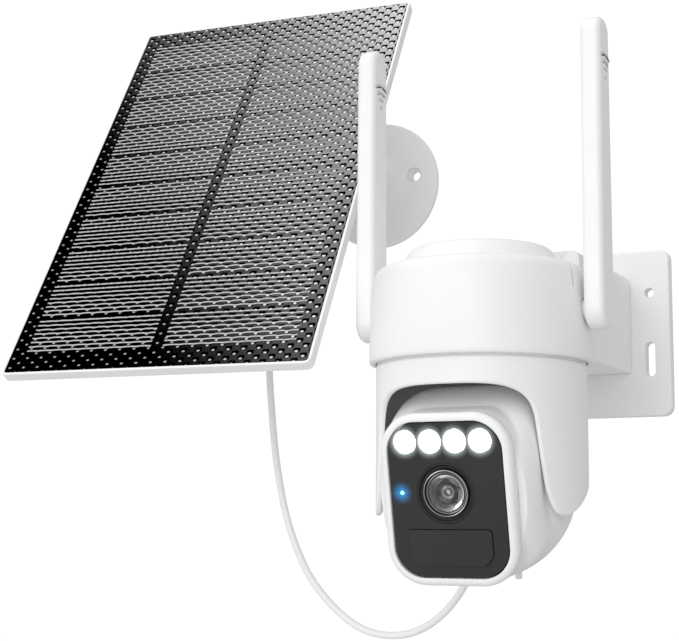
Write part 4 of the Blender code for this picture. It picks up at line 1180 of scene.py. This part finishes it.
@dataclass
class CameraHead:
    """The head: ball-shaped shell, bezel, black face with lights, lens and window, and port flap."""

    face_y: float = -41.2
    face: tuple = (48.9, 63.1)
    face_corner: float = 12.5
    face_z: float = 0.7
    rim: float = 3.6
    bezel_depth: float = 6.0
    ball: float = 40.3
    half_width: float = 36.4
    barrel: float = 41.6
    barrel_half_width: float = 34.6
    wall: float = 2.2
    light_z = 24.4
    light_pitch = 10.72
    light_r = 4.9
    lens_z = 3.4
    lens_r: float = 9.6
    recess_r: float = 12.4
    optics_x = -0.7
    status = (-19.6, 3.7)
    microphone: tuple = (-18.0, -12.5)
    window: tuple = (-0.1, -18.7, 35.6, 14.7)
    port: tuple = (2.0, -8.0, -38.0)
    port_size: tuple = (32.0, 12.0)

    def swollen(self, angle: np.ndarray, y: np.ndarray, inset: float) -> tuple[np.ndarray, np.ndarray]:
        """The ball's reach, swollen to a barrel on its front.

        The ball's reach is the root of its radius squared less depth squared. The barrel is round
        about the tilt axis with full shoulders, |x/a|^5 + (rho/R)^5 = 1, and its reach is found by
        halving. It counts between -75 and 135 degrees of lift from the front, eased at both ends.

        Args:
            angle: angles round the facing axis.
            y: depths.
            inset: how far inside the outer skin.

        Returns:
            The reach, and how far the barrel counts.
        """
        ball = np.sqrt(np.maximum((self.ball - inset) ** 2 - y ** 2, 0.0))
        low, high = np.zeros(y.shape), np.full(y.shape, 1.6 * self.barrel)
        for _ in range(30):
            middle = (low + high) / 2
            side = np.abs(middle * np.cos(angle)) / (self.barrel_half_width - inset)
            rho = np.hypot(y, middle * np.sin(angle)) / (self.barrel - inset)
            within = side ** 5 + rho ** 5 < 1
            low, high = np.where(within, middle, low), np.where(within, high, middle)
        lift = np.degrees(np.arctan2(ball * np.sin(angle), -y))
        rise, fall = np.clip((lift + 75) / 40, 0, 1), np.clip((lift - 110) / 25, 0, 1)
        swell = rise ** 2 * (3 - 2 * rise) * (1 - fall ** 2 * (3 - 2 * fall))
        return ball + swell * np.maximum(low - ball, 0.0), swell

    def reach(self, angle: np.ndarray, y: np.ndarray, inset: float) -> np.ndarray:
        """How far the skin lies from the facing axis.

        The snout's reach is that of a rounded rectangle at this angle. The skin takes the larger of
        that and the swollen ball's, filled a little where they meet, and is cut flat at the sides.

        Args:
            angle: angles round the facing axis.
            y: depths.
            inset: how far inside the outer skin.

        Returns:
            The reach at each angle and depth.
        """
        half_x, half_z = self.face[0] / 2 + self.rim - inset, self.face[1] / 2 + self.rim - inset
        corner = self.face_corner + self.rim - inset
        c, s = np.abs(np.cos(angle)), np.abs(np.sin(angle))
        straight = np.minimum(half_x / np.maximum(c, 1e-9), half_z / np.maximum(s, 1e-9))
        cx, cz = half_x - corner, half_z - corner
        along = c * cx + s * cz
        bent = along + np.sqrt(np.maximum(along ** 2 - cx ** 2 - cz ** 2 + corner ** 2, 0.0))
        snout = np.where((straight * c <= cx) | (straight * s <= cz), straight, bent)
        ball, swell = self.swollen(angle, y, inset)
        fade = np.clip((-8.0 - y) / 6.0, 0, 1)
        fill = (1 - 0.5 * swell) * np.exp(-np.abs(snout - ball) / 3.0) * fade * fade * (3 - 2 * fade)
        snout = np.where(y < -8.0, snout, 0.0)
        side = (self.half_width - inset) / np.maximum(c, 1e-6)
        return np.minimum(np.maximum(snout, ball) + fill, side)

    def skin(self, inset: float, front: float) -> np.ndarray:
        """One skin as rings from the front rim to near the rear pole.

        Args:
            inset: how far inside the outer skin.
            front: the front rim's depth.

        Returns:
            The rings' points, (86, 192, 3).
        """
        pole = self.ball - inset
        rear = pole * np.sin(np.linspace(-0.14, math.pi / 2 - 0.03, 42))
        depth = np.concatenate([np.linspace(front, -6, 44), rear])
        angle = (np.arange(192) + 0.5) * 2 * math.pi / 192
        y = np.broadcast_to(depth[:, None], (len(depth), 192))
        reach = self.reach(np.broadcast_to(angle, y.shape), y, inset)
        shift = self.face_z * np.clip(1 - (y - front) / 20, 0, 1)
        return np.stack([reach * np.cos(angle), y, shift + reach * np.sin(angle)], axis=-1)

    def shell(self) -> bpy.types.Object:
        """The shell: outer and inner skins joined at the front rim, then its holes cut.

        Returns:
            The piece.
        """
        front = self.face_y + self.bezel_depth + 0.3
        outer, inner = self.skin(0.0, front), self.skin(self.wall, front)
        draft = Draft().grid(np.concatenate([outer[::-1], inner]), caps=(True, True)).moved(HEAD)
        x, y = self.microphone
        mic = Draft().bar(1.1, 20, 60, 24).moved(placed((x, y, 0)), HEAD)
        bay = Draft().stack(rounded(self.port_size[0] + 0.6, self.port_size[1] + 0.6, 2.5, self.port[:2]),
                            [(0, self.port[2] - 10), (0, self.port[2] + 10)]).moved(HEAD)
        cuts = [(Cut.AWAY, mic), (Cut.AWAY, bay)]
        for side in (1, -1):
            bore = Draft().bar(5.3, 30, 40).laid(Facing.SIDE).moved(half_turn(side), HEAD)
            cuts.append((Cut.AWAY, bore))
        return put("head_shell_moulded", draft, WHITE_ABS, "head", ("head_shell",), tuple(cuts),
                   crease=50)

    def bezel(self) -> bpy.types.Object:
        """The bezel: a frame with a broad round front edge and a fine inner edge.

        Returns:
            The piece.
        """
        width, height = self.face
        outline = rounded(width + 2 * self.rim, height + 2 * self.rim, self.face_corner + self.rim,
                          (0, self.face_z), 24)
        hole = rounded(width + 0.6, height + 0.6, self.face_corner, (0, self.face_z), 24)
        low, high, soft = -self.face_y - self.bezel_depth, -self.face_y, 2.4
        turn = np.linspace(0, math.pi / 2, 8)
        section = [(0.3, low), (0.0, low + 0.3)]
        section += [(soft * (1 - math.cos(a)), high - soft + soft * math.sin(a)) for a in turn]
        inside = ((-0.35, high), (-0.1, high - 0.12), (0.0, high - 0.4), (0.0, low))
        rings = [(outline, inset, h) for inset, h in section] + [(hole, inset, h) for inset, h in inside]
        draft = Draft().rings(rings).laid(Facing.FRONT).moved(HEAD)
        return put("front_bezel_moulded", draft, WHITE_ABS, "head", ("front_bezel",), crease=60)

    def window_line(self, grow: float) -> np.ndarray:
        """The window's outline: square above, cut corners below.

        Args:
            grow: how far outside the window itself.

        Returns:
            The outline's points, (n, 2).
        """
        x, z, width, height = self.window
        w, h, cut = width / 2 + grow, height / 2 + grow, 3.6
        corners = [(x + a, z + b) for a, b in ((w, h), (-w, h), (-w, cut - h), (cut - w, -h), (w - cut, -h),
                                               (w, cut - h))]
        return softened(corners, [2.2, 0.5, 0.8, 0.8, 1.4, 1.4])

    def face_parts(self) -> None:
        """The face panel with its openings, the raised window, lights and status light."""
        width, height = self.face
        front = -self.face_y - 0.6
        outline = rounded(width - 0.3, height - 0.3, self.face_corner - 0.2, (0, self.face_z), 24)
        section = [(0, front - 2.4), (0, front - 0.35), (0.12, front - 0.1), (0.35, front)]
        draft = Draft().stack(outline, section)
        cuts = []
        for number in range(4):
            x = self.optics_x + (number - 1.5) * self.light_pitch
            way = Draft().bar(self.light_r + 0.15, 20, 60, 64).laid(Facing.FRONT)
            cuts.append((Cut.AWAY, way.moved(placed((x, 0, self.light_z)), HEAD)))
            r = self.light_r - 0.15
            lens = softened([(0, front - 2.2), (r, front - 2.2), (r, front - 0.1), (r * 0.6, front + 0.25),
                             (0, front + 0.4)], [0, 0.2, 0.6, 2.0, 0], 6)
            glow = Draft().lathe(lens, 64).laid(Facing.FRONT).moved(placed((x, 0, self.light_z)), HEAD)
            put(f"light_lens_{number + 1}_domed", glow, LIGHT, "head",
                (f"light_lens_{number + 1}",), crease=60)
        lens_at = placed((self.optics_x, 0, self.lens_z))
        ring = Draft().bar(self.recess_r, 20, 60, 96).laid(Facing.FRONT).moved(lens_at, HEAD)
        status_at = placed((self.status[0], 0, self.status[1]))
        dot = Draft().bar(1.1, 20, 60, 24).laid(Facing.FRONT).moved(status_at, HEAD)
        hole = Draft().stack(self.window_line(0.16), [(0, 20), (0, 60)]).laid(Facing.FRONT)
        hole.moved(placed((0.14, 0, 0.14)), HEAD)
        cuts += [(Cut.AWAY, ring), (Cut.AWAY, dot), (Cut.AWAY, hole)]
        put("face_panel_etched", draft.laid(Facing.FRONT).moved(HEAD), FACE_ABS, "head",
            ("face_panel",), tuple(cuts), flat=True)
        section = [(0, front - 2.2), (0, front + 0.15), (0.1, front + 0.38), (0.35, front + 0.5)]
        raised = Draft().stack(self.window_line(0.0), section)
        put("motion_window_raised", raised.laid(Facing.FRONT).moved(HEAD), WINDOW_ABS, "head",
            ("motion_window",), flat=True)
        pipe = softened([(0, front - 6.4), (0.8, front - 6.4), (0.8, front - 0.2), (0, front + 0.15)],
                        [0, 0.1, 0.4, 0], 5)
        light = Draft().lathe(pipe, 32).laid(Facing.FRONT).moved(status_at, HEAD)
        put("status_light_pipe", light, STATUS, "head", ("status_light",), crease=60)

    def lens(self) -> None:
        """The ring in the recess, the stepped barrel and the front glass."""
        front = -self.face_y - 0.6
        r = self.lens_r
        rim = self.recess_r - 0.12
        ring = softened([(r + 0.3, front - 2.6), (rim, front - 2.6), (rim, front - 0.1),
                         (self.recess_r - 0.8, front), (r + 1.4, front - 1.5), (r + 0.3, front - 1.5)],
                        [0.1, 0.1, 0.2, 0.3, 0.3, 0.2], 5)
        barrel = [(0, front - 24), (7, front - 24), (7, front - 10), (r, front - 9), (r, front - 0.3),
                  (r - 0.35, front + 0.25), (r - 0.8, front + 0.1), (r - 1.2, front - 0.9),
                  (r - 1.7, front - 1.0), (r - 1.9, front - 1.7), (6.2, front - 2.0), (5.9, front - 2.5),
                  (4.4, front - 2.9), (3.9, front - 3.5), (2.0, front - 3.7), (1.6, front - 4.3),
                  (0, front - 4.4)]
        dome = softened([(0, front - 3.1), (4.0, front - 2.9), (r - 2.1, front - 0.9), (r - 2.2, front - 0.5),
                         (5.2, front + 0.25), (0, front + 0.7)], [0, 2, 0.1, 0.1, 3, 0], 8)
        at = placed((self.optics_x, 0, self.lens_z))
        for name, node, profile, steps, finish, slot, crease in (
                ("lens_ring_turned", "lens_ring", ring, 128, RING_ABS, "lens_black", 34.0),
                ("lens_barrel_stepped", "lens_barrel", softened(barrel, 0.12, 4), 128, BARREL, "lens_black",
                 34.0),
                ("lens_glass_domed", "lens_glass", dome, 96, GLASS, "lens_glass", 60.0)):
            draft = Draft().lathe(profile, steps).laid(Facing.FRONT).moved(at, HEAD)
            put(name, draft, finish, "head", (node,), crease=crease)

    def flap(self) -> bpy.types.Object:
        """The port flap: the ball's own skin within the bay's outline, with a pull tab.

        Returns:
            The piece.
        """
        steps = np.radians(np.arange(0, 44, 3))
        outer = [(self.ball * math.sin(a), -self.ball * math.cos(a)) for a in steps]
        back = [((self.ball - 1.3) * math.sin(a), (1.3 - self.ball) * math.cos(a)) for a in steps[::-1]]
        draft = Draft().lathe(np.array(outer + back), 96).moved(HEAD)
        x, y = self.port[:2]
        outline = rounded(self.port_size[0], self.port_size[1] - 0.5, 2.2, (x, y + 0.25))
        within = Draft().stack(outline, [(0, -50), (0, -20)]).moved(HEAD)
        tab = Draft().stack(rounded(2.6, 3.0, 0.9, (16.4, -9.0)),
                            [(0.3, -38.4), (0, -38.1), (0, -34.6), (0.2, -34.4)])
        return put("port_flap_curved", draft, WHITE_ABS, "port_flap", ("port_flap",),
                   ((Cut.WITHIN, within), (Cut.ON, tab.moved(HEAD))))

    def build(self) -> None:
        """Makes every piece of the head."""
        self.shell()
        self.bezel()
        self.face_parts()
        self.lens()
        self.flap()


# ------------------------------------------------------------------ antennas


@dataclass
class Antenna:
    """One paddle antenna on its hub, with a raised wave sign near its tip."""

    word: str
    side: int
    thick: float = 9.0
    deep: float = 17.0
    length: float = 134.5
    below: float = 8.5
    bend: float = 2.8
    aside: float = 52.7

    def place(self) -> Matrix:
        """The middle of the blade on its hinge axis, in the housing."""
        return placed((self.side * self.aside, *ANTENNA_SEAT))

    def blade(self) -> Draft:
        """The blade: a long outline with round ends, stood up across it with round edges.

        Returns:
            Its draft, upright on the hinge axis.
        """
        low, high = -self.below, self.length - self.below
        turn = np.linspace(0, math.pi, 33)
        foot, tip = self.deep / 2, self.deep * 0.43
        outline = np.vstack([
            np.column_stack([-foot * np.cos(turn), low + foot - foot * np.sin(turn)]),
            np.column_stack([tip * np.cos(turn), high - tip + tip * np.sin(turn)])])
        half, bend = self.thick / 2, self.bend
        curve = np.linspace(0, math.pi / 2, 7)
        rise = [(bend * (1 - math.cos(a)), half - bend + bend * math.sin(a)) for a in curve]
        section = [(inset, -depth) for inset, depth in reversed(rise)] + rise
        return Draft().stack(outline, section).laid(Facing.SIDE)

    def sign(self) -> None:
        """Three arcs over a dot, standing 0.25 mm proud of the outer side."""
        face, middle = self.thick / 2, self.length - self.below - 27.0
        arcs = []
        for radius in (4.0, 7.2, 10.4):
            turn = np.radians(np.linspace(55, 125, 17))
            ray = np.column_stack([np.cos(turn), np.sin(turn)])
            arcs.append(np.vstack([(radius + 0.6) * ray, (radius - 0.6) * ray[::-1]]) + (0, middle))
        turn = np.linspace(0, 2 * math.pi, 25)[:-1]
        arcs.append(np.column_stack([np.cos(turn), np.sin(turn)]) + (0, middle))
        draft = Draft()
        for outline in arcs:
            draft.stack(outline, [(0.0, face - 0.3), (0.0, face + 0.12), (0.1, face + 0.25)])
        put(f"antenna_{self.word}_sign", draft.laid(Facing.SIDE).moved(self.place(), CAMERA), SIGN_ABS,
            f"antenna_{self.word}")

    def build(self) -> None:
        """Makes the blade with its spindle, and the sign."""
        spindle = Draft().bar(4.6, -12.7, -self.thick / 2 + 1.5).laid(Facing.SIDE)
        spindle.moved(half_turn(self.side), self.place(), CAMERA)
        put(f"antenna_{self.word}_blade", self.blade().moved(self.place(), CAMERA), ANTENNA_ABS,
            f"antenna_{self.word}", (f"antenna_{self.word}",), ((Cut.ON, spindle),), crease=60,
            flat=True)
        self.sign()


# ------------------------------------------------------------------ solar panel and bracket


@dataclass
class SolarPanel:
    """The framed laminate with its embossed film."""

    glass: tuple = (152.6, 239.5)
    front: float = 30.0
    rim: float = 1.5
    depth: float = 5.6
    laminate: float = 3.0
    dome_pitch = (7.38, 5.55)
    dome_r: float = 2.05
    dome_depth: float = 0.3

    def film(self) -> bpy.types.Object:
        """The laminate with its film of round dimples.

        Dimples stand on a centred grid. The height at a point is minus the depth times one less the
        square of its distance from the nearest dimple over the dimple's radius, and 0 beyond it.

        Returns:
            The piece.
        """
        width, height = (size - 0.4 for size in self.glass)
        px, pz = self.dome_pitch
        x, z = (np.unique(np.clip(np.linspace(-count * pitch / 2, count * pitch / 2, count * steps + 1),
                                  -side / 2, side / 2))
                for count, pitch, steps, side in ((21, px, 10, width), (44, pz, 8, height)))
        gx, gz = np.meshgrid(x, z)
        far = np.full(gx.shape, 9.0)
        for ox, oz in ((0.0, 0.0), (px / 2, pz / 2)):
            dx = (gx - ox + px / 2) % px - px / 2
            dz = (gz - oz + pz / 2) % pz - pz / 2
            far = np.minimum(far, np.hypot(dx, dz))
        low = self.dome_depth * np.clip(1 - (far / self.dome_r) ** 2, 0, 1)
        edge = (np.abs(gx) > width / 2 - 0.2) | (np.abs(gz) > height / 2 - 0.2)
        y = -self.front + np.where(edge, 0.05, low)
        draft = Draft().grid(np.stack([gx, y, gz], axis=-1), wrap=False)
        rows, columns = gx.shape
        index = np.arange(rows * columns).reshape(rows, columns)
        rim = np.concatenate([index[0, :-1], index[:-1, -1], index[-1, :0:-1], index[:0:-1, 0]])
        ring = draft.points[0][rim]
        back = ring * (1, 0, 1) + (0, self.laminate - self.front, 0)
        draft.grid(np.array([ring, back]), caps=(False, True))
        return put("solar_film_embossed", draft.moved(PANEL), LAMINATE, "solar_panel",
                   ("panel_laminate",), crease=60)

    def frame(self) -> bpy.types.Object:
        """The white rim: a fine lip in front, a round outer edge and a ledge behind the laminate.

        Returns:
            The piece.
        """
        width, height = self.glass
        outline = rounded(width + 2 * self.rim, height + 2 * self.rim, 3.0, (0, 0), 10)
        hole = rounded(width + 0.2, height + 0.2, 1.6, (0, 0), 10)
        ledge = rounded(width - 8, height - 8, 2.0, (0, 0), 10)
        front, back = self.front, self.front + 0.4 - self.depth
        rings = [(outline, 0.4, back), (outline, 0.0, back + 0.5), (outline, 0.0, front - 0.5),
                 (outline, 0.15, front - 0.1), (outline, 0.45, front + 0.02), (hole, -0.3, front + 0.02),
                 (hole, 0.0, front - 0.2), (hole, 0.0, back + 1.4), (ledge, 0.0, back + 1.4),
                 (ledge, 0.0, back)]
        draft = Draft().rings(rings).laid(Facing.FRONT).moved(PANEL)
        return put("panel_frame_moulded", draft, WHITE_ABS, "solar_panel", ("panel_frame",),
                   flat=True)

    def back(self) -> bpy.types.Object:
        """The rear cover: a plate with soft edges.

        Returns:
            The piece.
        """
        width, height = self.glass
        top = self.front + 0.4 - self.depth - 0.3
        outline = rounded(width - 14, height - 14, 6.0, (0, 0), 10)
        section = [(1.0, top - 2.6), (0.3, top - 2.3), (0.0, top - 1.6), (0.0, top)]
        draft = Draft().stack(outline, section).laid(Facing.FRONT).moved(PANEL)
        return put("panel_back_moulded", draft, WHITE_ABS, "solar_panel", ("panel_back",),
                   flat=True)

    def build(self) -> None:
        """Makes the film, frame and back."""
        self.film()
        self.frame()
        self.back()


@dataclass
class SolarBracket:
    """The round wall base with its neck, arm and fork."""

    base: tuple = (-105.2, 0.0, 88.6)
    radius: float = 34.0

    def build(self) -> None:
        """Makes the base in one piece, its screw ways cut."""
        r = self.radius
        disc = softened([(0, 0), (r, 0), (r, 2.9), (15.0, 6.8), (11.5, 9.5), (11.0, 16.0), (0, 16.0)],
                        [0, 0.3, 1.2, 4.0, 3.0, 0.5, 0], 9)
        at = placed(self.base)
        draft = Draft().lathe(disc, 192).laid(Facing.FRONT).moved(at)
        swivel = SWIVEL.translation
        neck = Vector((self.base[0], -11.0, self.base[2]))
        along = swivel + Vector((1.5, 19.0, 2.0)) - neck
        turn = Matrix.Translation(neck) @ along.to_track_quat("Z", "Y").to_matrix().to_4x4()
        elbow = softened([(0, -9), (9, -9), (9, 9), (0, 9)], [0, 8.8, 8.8, 0], 10)
        fork = [(1.2, -14.0), (0.0, -12.8), (0.0, 12.8), (1.2, 14.0)]
        fork_at = placed(swivel + Vector((0.4, 9.0, 0)))
        cuts = [(Cut.ON, Draft().bar(7.5, 0, along.length, 96).moved(turn)),
                (Cut.ON, Draft().lathe(elbow, 64).moved(placed(neck))),
                (Cut.ON, Draft().stack(rounded(18, 32, 3.0), fork).moved(fork_at))]
        gap = Draft().stack(rounded(30, 17.2, 0.6), [(0, -8.3), (0, 8.3)]).moved(placed(swivel))
        cuts += [(Cut.AWAY, gap), (Cut.AWAY, Draft().bar(2.6, -30, 30).moved(placed(swivel)))]
        cuts += [(Cut.ON, Draft().bar(6.6, 0.0, 9.0, 64).moved(placed(SOLAR_GLAND))),
                 (Cut.AWAY, Draft().bar(4.0, -5.0, 7.0).moved(placed(SOLAR_GLAND)))]
        for number in range(3):
            angle = math.radians(8 + 120 * number)
            place = placed((self.base[0] + 22 * math.cos(angle), 0, self.base[2] + 22 * math.sin(angle)))
            way = softened([(0, -5), (2.5, -5), (2.5, 2.7), (4.1, 2.8), (4.1, 20), (0, 20)],
                           [0, 0, 0.2, 0.2, 0, 0], 4)
            cuts.append((Cut.AWAY, Draft().lathe(way, 48).laid(Facing.FRONT).moved(place)))
        put("solar_base_moulded", draft, WHITE_ABS, "root", ("solar_base",), tuple(cuts))


# ------------------------------------------------------------------ carried-over nodes


INNER_FINISHES = {
    STEEL: ("arm_screw_left", "arm_screw_right", "swivel_pin", "pitch_pin", "pan_bearing", "tilt_stub_left",
            "tilt_stub_right"),
    MOTOR_CASE: ("pan_motor", "tilt_motor"),
    SLEEVE: ("battery_cell_1", "battery_cell_2"),
    DARK_ABS: ("battery_cradle", "chassis_floor", "arm_cover_left", "arm_cover_right", "port_block",
               "speaker", "swivel_knuckle", "microphone"),
    BOARD: ("main_board", "camera_board", "light_board", "charge_board"),
    ACETAL: ("pan_gear", "pan_pinion", "tilt_gear", "tilt_pinion"),
    SILICONE: ("cap_seal", "reset_button", "power_button"),
    CARD: ("memory_card",),
    CAN: ("motion_sensor",),
    WHITE_ABS: ("hinge_box",),
}


def dress_inner_nodes(nodes: dict) -> None:
    """Gives each CAD node that stays its own material.

    Args:
        nodes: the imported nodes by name.
    """
    for finish, names in INNER_FINISHES.items():
        for name in names:
            for slot in nodes[name].material_slots:
                slot.material = finish.material()
            LOG.info("%s: %s", name, finish.name)


# ------------------------------------------------------------------ assembly


def main() -> None:
    """Builds the studio and every piece of the camera in order."""
    logging.basicConfig(level=logging.INFO, format="%(message)s")
    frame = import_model()
    Studio().build()
    SolarLead().build()
    for part in (WallMount(), Housing(), Yoke(), CameraHead(), Antenna("left", -1), Antenna("right", 1),
                 SolarPanel(), SolarBracket()):
        part.build()
        LOG.info("%s done", type(part).__name__)
    dress_inner_nodes(frame["nodes"])
    bpy.context.view_layer.update()


if __name__ == "__main__":
    main()
